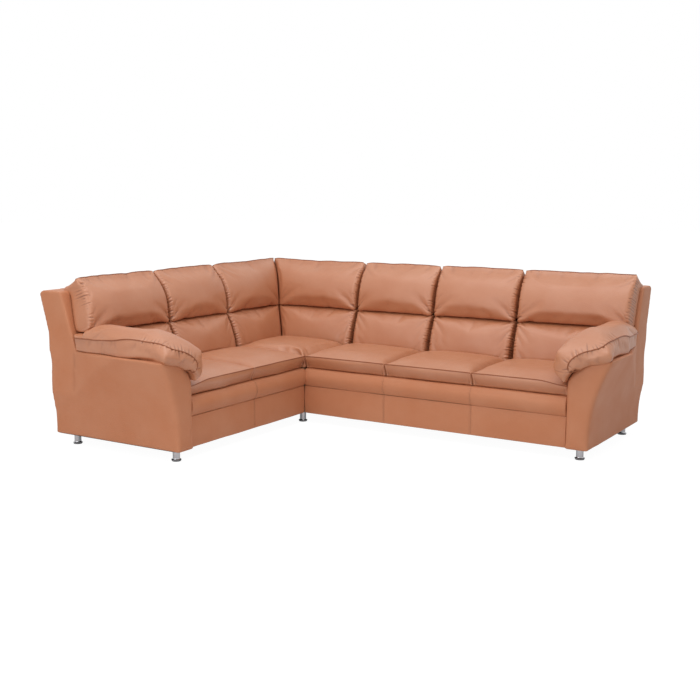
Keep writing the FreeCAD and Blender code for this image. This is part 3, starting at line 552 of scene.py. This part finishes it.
def keepInside(item, local):  # neighbours meet at their seams and don't cross them
    kind, look, clear = item["kind"], item["look"], 0.0006
    if kind == "pad":
        return local
    u, v, z = local[:, 0], local[:, 1], local[:, 2]
    for side, mitred in ((0, item["mitre"] < 0), (1, item["mitre"] > 0)):
        if kind == "bolster" and item["end"] == ("left", "right")[side]:
            continue
        lack = np.maximum(clear - sideDistances(item, local)[side], 0.0)
        sign = 1.0 - 2.0 * side
        if mitred:
            u += sign * lack / rootTwo
            v += lack / rootTwo
        else:
            u += sign * lack
    if kind == "seat":
        np.minimum(v, look["backStop"], out=v)
        if item["node"] == "seat_cushion_corner":
            np.maximum(v, clear, out=v)
        np.maximum(z, look["underside"], out=z)
    if kind == "lumbar":
        np.minimum(z, creaseHeight(v) - clear, out=z)
        np.maximum(v, 0.5315 - 0.030 * smoothStep(z, 0.432, 0.475), out=v)
    if kind == "bolster":
        np.maximum(z, creaseHeight(v) + clear, out=z)
    return local


def holdWeights(item, local):  # 1 where the leather is held by seams or by what is behind it
    v, z = local[:, 1], local[:, 2]
    toLeft, toRight = sideDistances(item, local)
    edge = np.minimum(toLeft, toRight)
    if item["kind"] == "seat":
        held = np.maximum(1.0 - smoothStep(z, 0.350, 0.364), smoothStep(v, 0.49, 0.515))
        piping = np.hypot(v + 0.011, z - 0.417)
        return np.maximum(held, 1.0 - smoothStep(piping, 0.004, 0.018))
    seam = 0.6 * (1.0 - smoothStep(edge, 0.0, 0.016))
    if item["kind"] == "lumbar":
        held = smoothStep(v - frontAt(item["look"], z), 0.03, 0.06)
        held = np.maximum(held, 1.0 - smoothStep(z, 0.350, 0.375))
        return np.maximum(held, seam)
    if item["kind"] == "bolster":
        return np.maximum(smoothStep(v - frontAt(item["look"], z), 0.06, 0.10), seam)
    return np.maximum(1.0 - smoothStep(z, 0.47, 0.52), smoothStep(v, 0.56, 0.62))


clothLook = {
    "quality": 4, "mass": 0.35, "tension_stiffness": 12.0, "compression_stiffness": 12.0,
    "shear_stiffness": 6.0, "bending_stiffness": 1.5, "use_pressure": True, "uniform_pressure_force": 4.0,
    "vertex_group_mass": "held", "pin_stiffness": 1.0,
}
fillFrames = 20


def stuff():  # one run of the cloth simulation fills every cushion at once
    before = []
    for item in softPieces:
        piece = item["piece"]
        points = readPoints(piece)
        before.append(points)
        weights = holdWeights(item, toWing(points, item["wing"]))
        group = piece.vertex_groups.new(name="held")
        for level in range(1, 11):
            chosen = np.nonzero(np.round(weights * 10) == level)[0].tolist()
            if chosen:
                group.add(chosen, level / 10.0, "REPLACE")
        cloth = piece.modifiers.new("stuffing", "CLOTH")
        for setting, value in clothLook.items():
            setattr(cloth.settings, setting, value)
        cloth.settings.shrink_min = -item["look"]["extra"]
        cloth.settings.effector_weights.gravity = 0.0
        cloth.collision_settings.use_collision = False
        cloth.point_cache.frame_end = fillFrames
    for number in range(fillFrames):
        scene.frame_set(number + 1)
    for item, points in zip(softPieces, before):
        piece, wing, cap = item["piece"], item["wing"], item["look"]["cap"]
        settle(piece)
        piece.vertex_groups.clear()
        moved = readPoints(piece) - points
        size = np.linalg.norm(moved, axis=1)
        keep = np.where(size > cap, cap / np.maximum(size, 1e-9), 1.0)
        writePoints(piece, points + moved * keep[:, None])
        if item["kind"] == "pad":
            relax(piece, 8, 0.35)
        else:
            edge = np.minimum(*sideDistances(item, wingPoints(piece, wing)))
            relax(piece, 8, 0.7 * smoothStep(edge, 0.02, 0.11))
        placePoints(piece, keepInside(item, wingPoints(piece, wing)), wing)
    scene.frame_set(1)


stuff()
print("cushions stuffed")


def seamPleats(random, start, along, inward, run, spacing, length, width, depth):
    pleats = []
    place = random.uniform(0.3, 1.0) * spacing
    while place < run:
        head = inward + along * random.uniform(-0.35, 0.35)
        head = head / np.linalg.norm(head)
        side = along - head * (along @ head)
        side = side / np.linalg.norm(side)
        pleats.append((start + along * place, head, side, length * random.uniform(0.5, 1.3),
                       width * random.uniform(0.8, 1.3), depth * random.uniform(0.4, 1.2)))
        place += spacing * random.uniform(0.6, 1.5)
    return pleats


def fanPleats(random, corner, along, inward, count, spread, length, width, depth):
    pleats = []
    for i in range(count):
        share = (i + random.uniform(0.2, 0.8)) / count
        angle = math.radians(spread[0] + (spread[1] - spread[0]) * share)
        head = inward * math.cos(angle) + along * math.sin(angle)
        side = along * math.cos(angle) - inward * math.sin(angle)
        pleats.append((corner + head * 0.006, head, side, length * random.uniform(0.6, 1.3),
                       width * random.uniform(0.8, 1.2), depth * random.uniform(0.5, 1.2)))
    return pleats


def shapeSeat(item, local):
    look = item["look"]
    left, right = item["span"]
    toLeft, toRight = sideDistances(item, local)
    v, z = local[:, 1], local[:, 2]
    top = smoothStep(z, 0.355, 0.412)
    back = smoothStep(v, 0.0, 0.11)
    shares = {"seat_cushion_corner": (0.85, 1.0), "seat_cushion_short_wing": (1.0, 0.85)}
    fall = sideFall(toLeft, toRight, look["shoulder"], look["valley"], shares.get(item["node"], (1.0, 1.0)))
    corner = item["node"] == "seat_cushion_corner"
    if corner:  # three seats meet at its front corner, where none of them falls away
        back = 0.10 + 0.90 * smoothStep(np.hypot(toLeft, v), 0.03, 0.15)
        fall = np.maximum(fall, roundOff(v, look["shoulder"], look["valley"]))
    local[:, 2] -= fall * top * (0.08 + 0.92 * back)
    middle = (local[:, 0] - left) / (right - left)
    dome = np.clip(4.0 * middle * (1.0 - middle), 0.0, 1.0) ** 0.7
    local[:, 2] += look["crown"] * dome * top * smoothStep(v, 0.0, 0.16)
    toArm = {"left": toLeft, "right": toRight}.get(item["end"])
    if toArm is not None:
        local[:, 2] -= look["endDrop"] * (1.0 - smoothStep(toArm, 0.0, look["endReach"])) * top
    if not corner:
        front = 1.0 - smoothStep(v, 0.0, 0.06)
        local[:, 1] += look["undercut"] * (1.0 - smoothStep(z, 0.350, 0.405)) * front
    return local


def shapeBack(item, local):
    look = item["look"]
    toLeft, toRight = sideDistances(item, local)
    if item["end"] == "left":  # the ends beyond the outermost lumbar cushions pull in
        lean = look["endLean"] * smoothStep(local[:, 2], 0.66, 0.90)
        local[:, 0] += (look["endPull"] + lean) * (1.0 - smoothStep(toLeft, 0.0, 0.30))
    if item["end"] == "right":
        local[:, 0] -= 0.006 * (1.0 - smoothStep(toRight, 0.0, 0.20))
    toLeft, toRight = sideDistances(item, local)
    if item["end"] == "left":
        toLeft = toLeft - look["endPull"] - lean
    z = local[:, 2]
    near = 1.0 - smoothStep(local[:, 1] - frontAt(look, z), 0.03, 0.12)
    leftShare = 0.4 if item["mitre"] < 0 else 1.0
    rightShare = 0.4 if item["mitre"] > 0 else 1.0
    fall = sideFall(toLeft, toRight, look["shoulder"], look["valley"], (leftShare, rightShare))
    local[:, 1] += fall * near
    if item["kind"] == "bolster":
        upper = smoothStep(z, 0.86, 0.93)
        local[:, 2] -= look["topFall"] * smoothStep(local[:, 1], 0.735, 0.830) * smoothStep(z, 0.80, 0.90)
        if item["end"] == "right":
            rightShare = 0.0
        local[:, 2] -= sideFall(toLeft, toRight, 0.03, 0.008, (leftShare, rightShare)) * upper
        local[:, 2] += 0.0035 * softNoise(local * (1.0, 0.2, 0.0), 0.09, item["seed"]) * upper
        lip = (1.0 - smoothStep(z, 0.655, 0.700)) * (1.0 - smoothStep(local[:, 1], 0.62, 0.68))
        local[:, 2] -= 0.012 * lip
        local[:, 1] -= 0.004 * lip
    return keepInside(item, local)


def backPleats(item, random):
    look = item["look"]
    low, high, depth = look["pleatsFrom"], look["pleatsTo"], look["pleatDepth"]
    pleats = []
    left, right = item["span"]
    for side, seam, mitred in ((1.0, left, item["mitre"] < 0), (-1.0, right, item["mitre"] > 0)):
        if mitred:
            continue
        edge, shift = seam + side * 0.012, 0.0
        if item["end"] == "left" and side > 0:
            edge, shift = edge + 0.024, 0.032
        start = np.array([edge, float(frontAt(look, low)) + 0.010, low])
        end = np.array([edge + shift, float(frontAt(look, high)) + 0.010, high])
        along = end - start
        run = float(np.linalg.norm(along))
        along = along / run
        inward = np.array([side, 0.0, 0.0])
        pleats += seamPleats(random, start, along, inward, run, 0.014, 0.030, 0.0042, depth)
        pleats += fanPleats(random, start, along, inward, 4, (8.0, 70.0), 0.060, 0.0060, depth)
        if item["kind"] == "lumbar" or shift:
            pleats += fanPleats(random, end, -along, inward, 3, (5.0, 60.0), 0.050, 0.0055, depth)
    return pleats


def offsetTo(points, path, reach):  # from each point to the nearest place on a line
    offset = np.ones((len(points), 3))
    near = np.all((points > path.min(axis=0) - reach) & (points < path.max(axis=0) + reach), axis=1)
    local = points[near]
    best = np.full(len(local), 1e9)
    found = np.ones((len(local), 3))
    for a, b in zip(path[:-1], path[1:]):
        step = b - a
        t = np.clip(((local - a) @ step) / max(step @ step, 1e-12), 0.0, 1.0)
        gap = a + t[:, None] * step - local
        size = np.einsum("ij,ij->i", gap, gap)
        better = size < best
        best[better] = size[better]
        found[better] = gap[better]
    offset[near] = found
    return offset


def pinch(local, path, reach, pull):  # draws the leather up to the cord sewn into its edge
    offset = offsetTo(local, path, reach * 3.0)
    size = np.linalg.norm(offset, axis=1)
    return local + offset * (pull * np.exp(-(size / reach) ** 2))[:, None]


def traceEdge(local, low, high, step, away, allowed):  # the outermost line of an edge along a wing
    places = np.arange(low, high + step * 0.5, step)
    score = local[:, 1] * away[0] + local[:, 2] * away[1]
    score = np.where(allowed, score, -9.0)
    path = []
    for place in places:
        near = np.abs(local[:, 0] - place) < step * 0.75
        if np.any(near & allowed):
            best = np.nonzero(near)[0][np.argmax(score[near])]
            path.append((place, local[best, 1], local[best, 2]))
    return calmPath(path, 4)


def ridgeLine(item):  # the welt along the top of a bolster, lower and tighter at its seams
    look = item["look"]
    low = item["span"][0] + (0.062 if item["end"] == "left" else 0.006)
    high = item["span"][1] - (0.012 if item["end"] == "right" else 0.006)
    shares = (1.0, 0.0 if item["end"] == "right" else 1.0)
    if item["mitre"] > 0:
        high, shares = look["ridgeBack"], (1.0, 0.5)
    if item["mitre"] < 0:
        low, shares = -look["ridgeBack"], (0.5, 1.0)
    u = np.arange(low, high, 0.012)
    dip = sideFall(u - low, high - u, 0.035, look["notch"], shares)
    line = np.column_stack((u, np.full(len(u), look["ridgeBack"]), look["ridgeHeight"] - dip))
    line[:, 2] += 0.003 * softNoise(line * (1.0, 0.0, 0.0), 0.07, item["seed"] + 3)
    line[:, 1] += 0.003 * softNoise(line * (1.0, 0.0, 0.0), 0.11, item["seed"] + 4) + 0.6 * dip
    return line


def frontLine(item, path):  # a seat's piping runs straight on over the seams, and drops beside an arm
    left, right = item["span"]
    middle = np.median(path[len(path) // 4: -len(path) // 4], axis=0)
    u = np.linspace(left + 0.0008, right - 0.0008, len(path) + 2)
    line = np.column_stack((u, np.full(len(u), middle[1]), np.full(len(u), middle[2])))
    toArm = {"left": u - left, "right": right - u}.get(item["end"])
    if toArm is not None:
        line[:, 2] -= item["look"]["endDrop"] * (1.0 - smoothStep(toArm, 0.0, item["look"]["endReach"]))
    return line


def squareUp(item, local):  # the sewn corners of the front border stay square, so neighbours meet
    toLeft, toRight = sideDistances(item, local)
    inner = (np.minimum(toLeft, toRight) > 0.12) & (local[:, 2] < 0.425)
    levels = np.arange(0.338, 0.430, 0.004)
    faces = []
    for level in levels:
        near = inner & (np.abs(local[:, 2] - level) < 0.004)
        faces.append(local[near, 1].min() if np.any(near) else 0.0)
    near = (1.0 - smoothStep(np.minimum(toLeft, toRight), 0.009, 0.020)) * (local[:, 2] < 0.425)
    depth = np.clip((local[:, 1] - np.interp(local[:, 2], levels, faces)) / 0.018, 0.0, 1.0)
    local[:, 1] -= 0.018 * depth * (1.0 - depth) * near
    return local


def onSurface(tree, path):  # a line laid on a mesh, with the way out of it at each point
    places, ways = [], []
    for point in path:
        hit, way, index, gap = tree.find_nearest(Vector(point))
        places.append(tuple(hit))
        ways.append(tuple(way))
    return np.array(places), np.array(ways)


def surfaceTree(piece):
    shape = bmesh.new()
    shape.from_mesh(piece.data)
    tree = BVHTree.FromBMesh(shape)
    shape.free()
    return tree


def gatherAlong(random, path, ways, flip, spacing, length, width, depth):
    pleats = []
    skip = 0.0
    for i in range(1, len(path) - 1):
        step = path[i + 1] - path[i - 1]
        skip -= float(np.linalg.norm(step)) / 2.0
        if skip > 0.0:
            continue
        skip = spacing * random.uniform(0.6, 1.5)
        along = step / np.linalg.norm(step)
        head = np.cross(along, ways[i]) * flip + along * random.uniform(-0.3, 0.3)
        head = head / np.linalg.norm(head)
        side = along - head * (along @ head)
        pleats.append((path[i], head, side / np.linalg.norm(side), length * random.uniform(0.5, 1.3),
                       width * random.uniform(0.8, 1.3), depth * random.uniform(0.4, 1.2)))
    return pleats


def shapePad(item, piece, random):
    look, wing = item["look"], item["wing"]
    edge, outward = item["span"]
    back = look["noseBack"][wing]
    local = wingPoints(piece, wing)
    local[:, 1] += back * (1.0 - smoothStep(local[:, 1], -0.10, 0.10))
    outer = smoothStep((local[:, 0] - edge) * outward, 0.12, 0.18) * smoothStep(local[:, 1], 0.12, 0.30)
    sag = look["borderSag"] * outer * (1.0 - smoothStep(local[:, 2], 0.575, 0.625))
    local[:, 2] = np.maximum(local[:, 2] - sag, np.minimum(local[:, 2], look["armTop"]))
    placePoints(piece, local, wing)
    line = [(edge + outward * w, v + back * (v < 0.0), z) for w, v, z in look["piping"]]
    line = calmPath(evenPath(line, 0.012), 6)
    path, ways = onSurface(surfaceTree(piece), fromWing(line, wing))
    path = calmPath(path, 3)
    world = pinch(readPoints(piece), path + ways * 0.006, 0.020, look["pinch"])
    nose = path[toWing(path, wing)[:, 1] < 0.16]
    noseWays = ways[-len(nose):]
    pleats = gatherAlong(random, nose, noseWays, outward, 0.016, 0.062, 0.0052, look["pleatDepth"])
    pleats += gatherAlong(random, nose, noseWays, -outward, 0.045, 0.040, 0.0070, look["pleatDepth"] * 0.8)
    writePoints(piece, world)
    writePoints(piece, world + readPoints(piece, "normal") * pleatField(world, pleats)[:, None])
    laid, ways = onSurface(surfaceTree(piece), path + ways * 0.004)
    item["cord"] = calmPath(laid + ways * 0.0012, 2)


for index, item in enumerate(softPieces):
    piece, wing, kind, look = item["piece"], item["wing"], item["kind"], item["look"]
    item["seed"] = seed = 40 + index
    random = np.random.RandomState(seed)
    modify(piece, "SUBSURF", levels=1, render_levels=1)
    if kind == "pad":
        shapePad(item, piece, random)
    else:
        local = wingPoints(piece, wing)
        local = shapeSeat(item, local) if kind == "seat" else shapeBack(item, local)
        path, lift = None, (0.0, 0.0, 0.0)
        if kind == "seat" and item["node"] != "seat_cushion_corner":
            left, right = item["span"]
            allowed = (local[:, 1] < 0.03) & (local[:, 2] > 0.37)
            path = traceEdge(local, left + 0.004, right - 0.004, 0.012, (-1.0, 1.0), allowed)
            path, lift = frontLine(item, path), (0.0, -0.003, 0.004)
            local = squareUp(item, local)
        if kind == "bolster":
            path = ridgeLine(item)
            local = pinch(pinch(local, path, 0.042, 0.50), path, 0.026, 0.60)
        if path is not None:
            local = pinch(local, path + lift, 0.018, look["pinch"])
            placePoints(piece, local, wing)
            laid, ways = onSurface(surfaceTree(piece), fromWing(path + lift, wing))
            item["cord"] = calmPath(laid + ways * 0.0008, 3)
        placePoints(piece, local, wing)
    local = wingPoints(piece, wing)
    field = ripple(local, (0.0012, 0.11, seed), (0.0004, 0.035, seed + 7))
    if kind in ("lumbar", "bolster"):
        field = field + pleatField(local, backPleats(item, random))
    if "cord" in item:  # the leather keeps its place where the cord is sewn in
        away = np.linalg.norm(offsetTo(local, toWing(item["cord"], wing), 0.03), axis=1)
        field = field * smoothStep(away, 0.0, 0.02)
    placePoints(piece, keepInside(item, swell(piece, wing, local, field)), wing)
    finishSkin(piece, item["body"], [item["node"]], leather)
    if "cord" in item:
        tube(item["node"] + "_piping", item["cord"], look["pipingRadius"], item["body"], pipingLeatherShaded)
print("cushions shaped")

# Upholstered parts that are fixed: rolls, skirts, arm covers with their posts, and outside backs
fixedLook = {
    "roll": {"voxel": 0.006, "rounds": 5, "fill": 0.9, "belly": 0.008, "low": 0.233, "high": 0.340},
    "arm": {"voxel": 0.0075, "rounds": 4, "fill": 1.0, "soften": 26},
    "skirt": {"voxel": 0.004, "rounds": 2, "fill": None, "belly": 0.003, "low": 0.0615, "high": 0.2327},
}
for name, wing, kind, replaced in (
    ("corner_section_front_roll", "short", "roll", ["corner_section_front_roll"]),
    ("long_section_front_roll", "long", "roll", ["long_section_front_roll"]),
    ("left_arm", "short", "arm", ["left_arm_cover", "left_back_post"]),
    ("right_arm", "long", "arm", ["right_arm_cover", "right_back_post"]),
    ("corner_section_skirt_panel", "short", "skirt", ["corner_section_skirt_panel"]),
    ("long_section_skirt_panel", "long", "skirt", ["long_section_skirt_panel"]),
):
    look = fixedLook[kind]
    piece = skinOf(replaced, name + "_leather", look["voxel"], look["rounds"])
    local = wingPoints(piece, wing)
    v, z = local[:, 1], local[:, 2]
    if kind == "arm":
        front = 0.12 + 0.88 * (1.0 - smoothStep(v, 0.01, 0.13))
        join = np.exp(-((z - 0.455) / 0.055) ** 2) * smoothStep(v, 0.78, 0.84)
        relax(piece, look["soften"], np.maximum(front, join) * smoothStep(z, 0.060, 0.095))
        local = wingPoints(piece, wing)
    else:
        rise = np.clip((z - look["low"]) / (look["high"] - look["low"]), 0.0, 1.0)
        local[:, 1] -= look["belly"] * np.sin(math.pi * rise) * (1.0 - smoothStep(v, 0.0, 0.02))
    field = ripple(local, (0.0012, 0.17, 5), (0.0003, 0.05, 6))
    placePoints(piece, swell(piece, wing, local, field), wing)
    finishSkin(piece, sectionOf[wing], replaced, panelLeather)
print("fixed upholstery made")

backLook = {
    "profile": ((0.870, 0.0625), (0.8765, 0.235), (0.884, 0.410), (0.8905, 0.528), (0.898, 0.645),
                (0.912, 0.700), (0.9265, 0.750), (0.941, 0.800), (0.952, 0.838), (0.9555, 0.852),
                (0.952, 0.864), (0.9425, 0.870), (0.928, 0.8715), (0.86, 0.8715), (0.797, 0.8715)),
    "thick": 0.008,
}


def outsideBack(node, wing, body, spanAt):
    profile = evenPath([(0.0, v, z) for v, z in backLook["profile"]], 0.016)
    rows = len(profile)
    low, high = spanAt(0.87)
    columns = max(int((high - low) / 0.018), 4)
    shape = bmesh.new()
    bmesh.ops.create_grid(shape, x_segments=columns, y_segments=rows - 1, size=0.5)
    for corner in shape.verts:
        across = corner.co.x + 0.5
        rise = min(int(round((corner.co.y + 0.5) * (rows - 1))), rows - 1)
        v, z = profile[rise][1], profile[rise][2]
        low, high = spanAt(v)
        corner.co = fromWing([(low + (high - low) * across, v, z)], wing)[0]
    bmesh.ops.recalc_face_normals(shape, faces=shape.faces)
    shape.normal_update()
    outward = fromWing([(0.0, 1.0, 0.0)], wing)[0] - fromWing([(0.0, 0.0, 0.0)], wing)[0]
    if sum(face.normal.dot(Vector(outward)) for face in shape.faces) < 0.0:
        bmesh.ops.reverse_faces(shape, faces=shape.faces)
    piece = pieceFrom(shape, node + "_leather")
    local = wingPoints(piece, wing)
    field = ripple(local, (0.0016, 0.22, 11), (0.0004, 0.06, 12)) * smoothStep(local[:, 2], 0.07, 0.12)
    placePoints(piece, swell(piece, wing, local, field), wing)
    modify(piece, "SOLIDIFY", thickness=backLook["thick"], offset=-1.0)
    markFolds(piece)
    dress(piece, body, [node], panelLeather)


halfGap = 0.0005
outsideBack("short_wing_outside_back", "short", "corner_section", lambda v: (shortEnd, v - halfGap))
outsideBack("corner_outside_back", "long", "corner_section", lambda v: (halfGap - v, -halfGap))
outsideBack("long_wing_outside_back", "long", "long_section", lambda v: (halfGap, longEnd))
print("outside backs made")

# Seams and rows of stitches where the seat divisions run down the front
seamLook = {
    "apart": 0.0065, "pitch": 0.0072, "stitchLength": 0.0048, "stitchRadius": 0.00075,
    "seamRadius": 0.0008, "shift": 0.0015, "proud": 0.0002, "low": 0.070, "high": 0.408,
}


def frontPoint(trees, wing, u, z):  # the outermost leather met from in front of a wing
    start = Vector(fromWing([(u, -0.2, z)], wing)[0])
    ahead = Vector(fromWing([(u, 0.8, z)], wing)[0]) - start
    best = None
    for tree in trees:
        hit, way, index, gap = tree.ray_cast(start, ahead, 0.4)
        if hit is not None and (best is None or gap < best[2]):
            best = (hit, way, gap)
    return best


def addStitches(name, places, body):  # each stitch is a short round-ended thread lying on the leather
    shape = bmesh.new()
    size = (seamLook["stitchRadius"], seamLook["stitchRadius"], seamLook["stitchLength"] / 2.0)
    for place, way, along in places:
        made = bmesh.ops.create_icosphere(shape, subdivisions=1, radius=1.0)
        turn = along.to_track_quat("Z", "Y").to_matrix().to_4x4()
        bmesh.ops.scale(shape, vec=size, verts=made["verts"])
        bmesh.ops.transform(shape, matrix=turn, verts=made["verts"])
        bmesh.ops.translate(shape, vec=place + way * seamLook["proud"], verts=made["verts"])
    dress(pieceFrom(shape, name), body, [], thread)


for name, wing, seams, seats in (
    ("short_wing_front", "short", (shortSeam,), ("by_left_arm", "short_wing")),
    ("long_wing_front", "long", longSeams, ("long_wing_left", "long_wing_middle", "by_right_arm")),
):
    body = sectionOf[wing]
    touched = ["seat_cushion_" + seat for seat in seats] + [body + "_front_roll", body + "_skirt_panel"]
    trees = [surfaceTree(bpy.data.objects[part + "_leather"]) for part in touched]
    places = []
    for number, seam in enumerate(seams):
        line = []
        for z in np.arange(seamLook["low"], seamLook["high"], 0.004):
            found = frontPoint(trees, wing, seam + seamLook["shift"], float(z))
            if found:
                line.append(tuple(found[0] + found[1] * seamLook["proud"]))
        tube(f"{name}_seam_{number + 1}", calmPath(line, 1), seamLook["seamRadius"], body, thread)
        for side in (-1.0, 1.0):
            last = None
            for z in np.arange(seamLook["low"], seamLook["high"], seamLook["pitch"]):
                found = frontPoint(trees, wing, seam + side * seamLook["apart"], float(z))
                if found and last is not None:
                    along = (found[0] - last).normalized()
                    places.append((found[0], found[1], along))
                last = found[0] if found else None
    addStitches(name + "_stitching", places, body)
print("seams stitched")

# Floor, lights and camera
stageLook = {
    "floor": (0.80, 0.80, 0.80), "cameraWhite": 0.86, "glow": 1.12, "floorMirrored": 0.30, "ambient": 0.54,
    "overhead": 104.0, "front": 82.0,
}
white = (1.0, 1.0, 1.0, 1.0)


def seenRays(tree, mirrored):  # what the camera sees, straight, through glass or mirrored by this much
    rays = addNode(tree, "ShaderNodeLightPath")
    total = rays.outputs["Is Camera Ray"]
    for name, share in (("Is Glossy Ray", mirrored), ("Is Transmission Ray", 1.0)):
        part = addNode(tree, "ShaderNodeMath", {1: share}, operation="MULTIPLY_ADD", use_clamp=True)
        tree.links.new(rays.outputs[name], part.inputs[0])
        tree.links.new(total, part.inputs[2])
        total = part.outputs["Value"]
    return total


def mixShaders(tree, amount, first, second, output):
    mix = addNode(tree, "ShaderNodeMixShader")
    for socket, value in enumerate((amount, first, second)):
        tree.links.new(value, mix.inputs[socket])
    tree.links.new(mix.outputs["Shader"], output.inputs["Surface"])


floorShape = bmesh.new()
bmesh.ops.create_grid(floorShape, x_segments=1, y_segments=1, size=30.0)
floor = pieceFrom(floorShape, "floor")
floorFinish, floorTree, floorShader = newFinish("paleFloor", stageLook["floor"], 0.8)
floorShader.inputs["Specular IOR Level"].default_value = 0.1
glow = addNode(floorTree, "ShaderNodeEmission", {"Color": white, "Strength": stageLook["glow"]})
share = addNode(floorTree, "ShaderNodeMath", {1: stageLook["cameraWhite"]}, operation="MULTIPLY")
floorTree.links.new(seenRays(floorTree, stageLook["floorMirrored"]), share.inputs[0])
mixShaders(floorTree, share.outputs["Value"], floorShader.outputs["BSDF"], glow.outputs["Emission"],
           floorTree.nodes["Material Output"])
floor.data.materials.append(floorFinish)

scene.world = scene.world or bpy.data.worlds.new("studio")
scene.world.use_nodes = True
sky = scene.world.node_tree
sky.nodes.clear()
ambient = addNode(sky, "ShaderNodeBackground", {"Color": white, "Strength": stageLook["ambient"]})
backdrop = addNode(sky, "ShaderNodeBackground", {"Color": white})
mixShaders(sky, seenRays(sky, 1.0), ambient.outputs["Background"], backdrop.outputs["Background"],
           addNode(sky, "ShaderNodeOutputWorld"))


def softLamp(name, place, target, size, power):
    lamp = bpy.data.lights.new(name, "AREA")
    lamp.shape = "RECTANGLE"
    lamp.size, lamp.size_y = size
    lamp.energy = power
    holder = bpy.data.objects.new(name, lamp)
    scene.collection.objects.link(holder)
    holder.location = place
    holder.rotation_euler = (Vector(target) - Vector(place)).to_track_quat("-Z", "Y").to_euler()


softLamp("overheadSoftbox", (0.3, -0.8, 4.4), (0.0, 0.3, 0.4), (4.5, 3.5), stageLook["overhead"])
softLamp("frontSoftbox", (-0.3, -5.8, 2.6), (0.0, 0.2, 0.4), (3.5, 2.5), stageLook["front"])

cameraLook = {
    "place": (3.1935, -5.3769, 1.4541), "turn": 33.691, "fall": 8.159, "pixels": 1100.5,
    "middle": (296.5, 342.9), "frame": 700.0,
}
camera = bpy.data.cameras.new("camera")
camera.sensor_width = 36.0
camera.lens = cameraLook["pixels"] / cameraLook["frame"] * camera.sensor_width
camera.shift_x = (cameraLook["frame"] / 2 - cameraLook["middle"][0]) / cameraLook["frame"]
camera.shift_y = (cameraLook["middle"][1] - cameraLook["frame"] / 2) / cameraLook["frame"]
cameraHolder = bpy.data.objects.new("camera", camera)
scene.collection.objects.link(cameraHolder)
cameraHolder.location = cameraLook["place"]
cameraHolder.rotation_euler = (math.radians(90.0 - cameraLook["fall"]), 0.0, math.radians(cameraLook["turn"]))
scene.camera = cameraHolder
scene.view_settings.view_transform = "Standard"

print("ready")
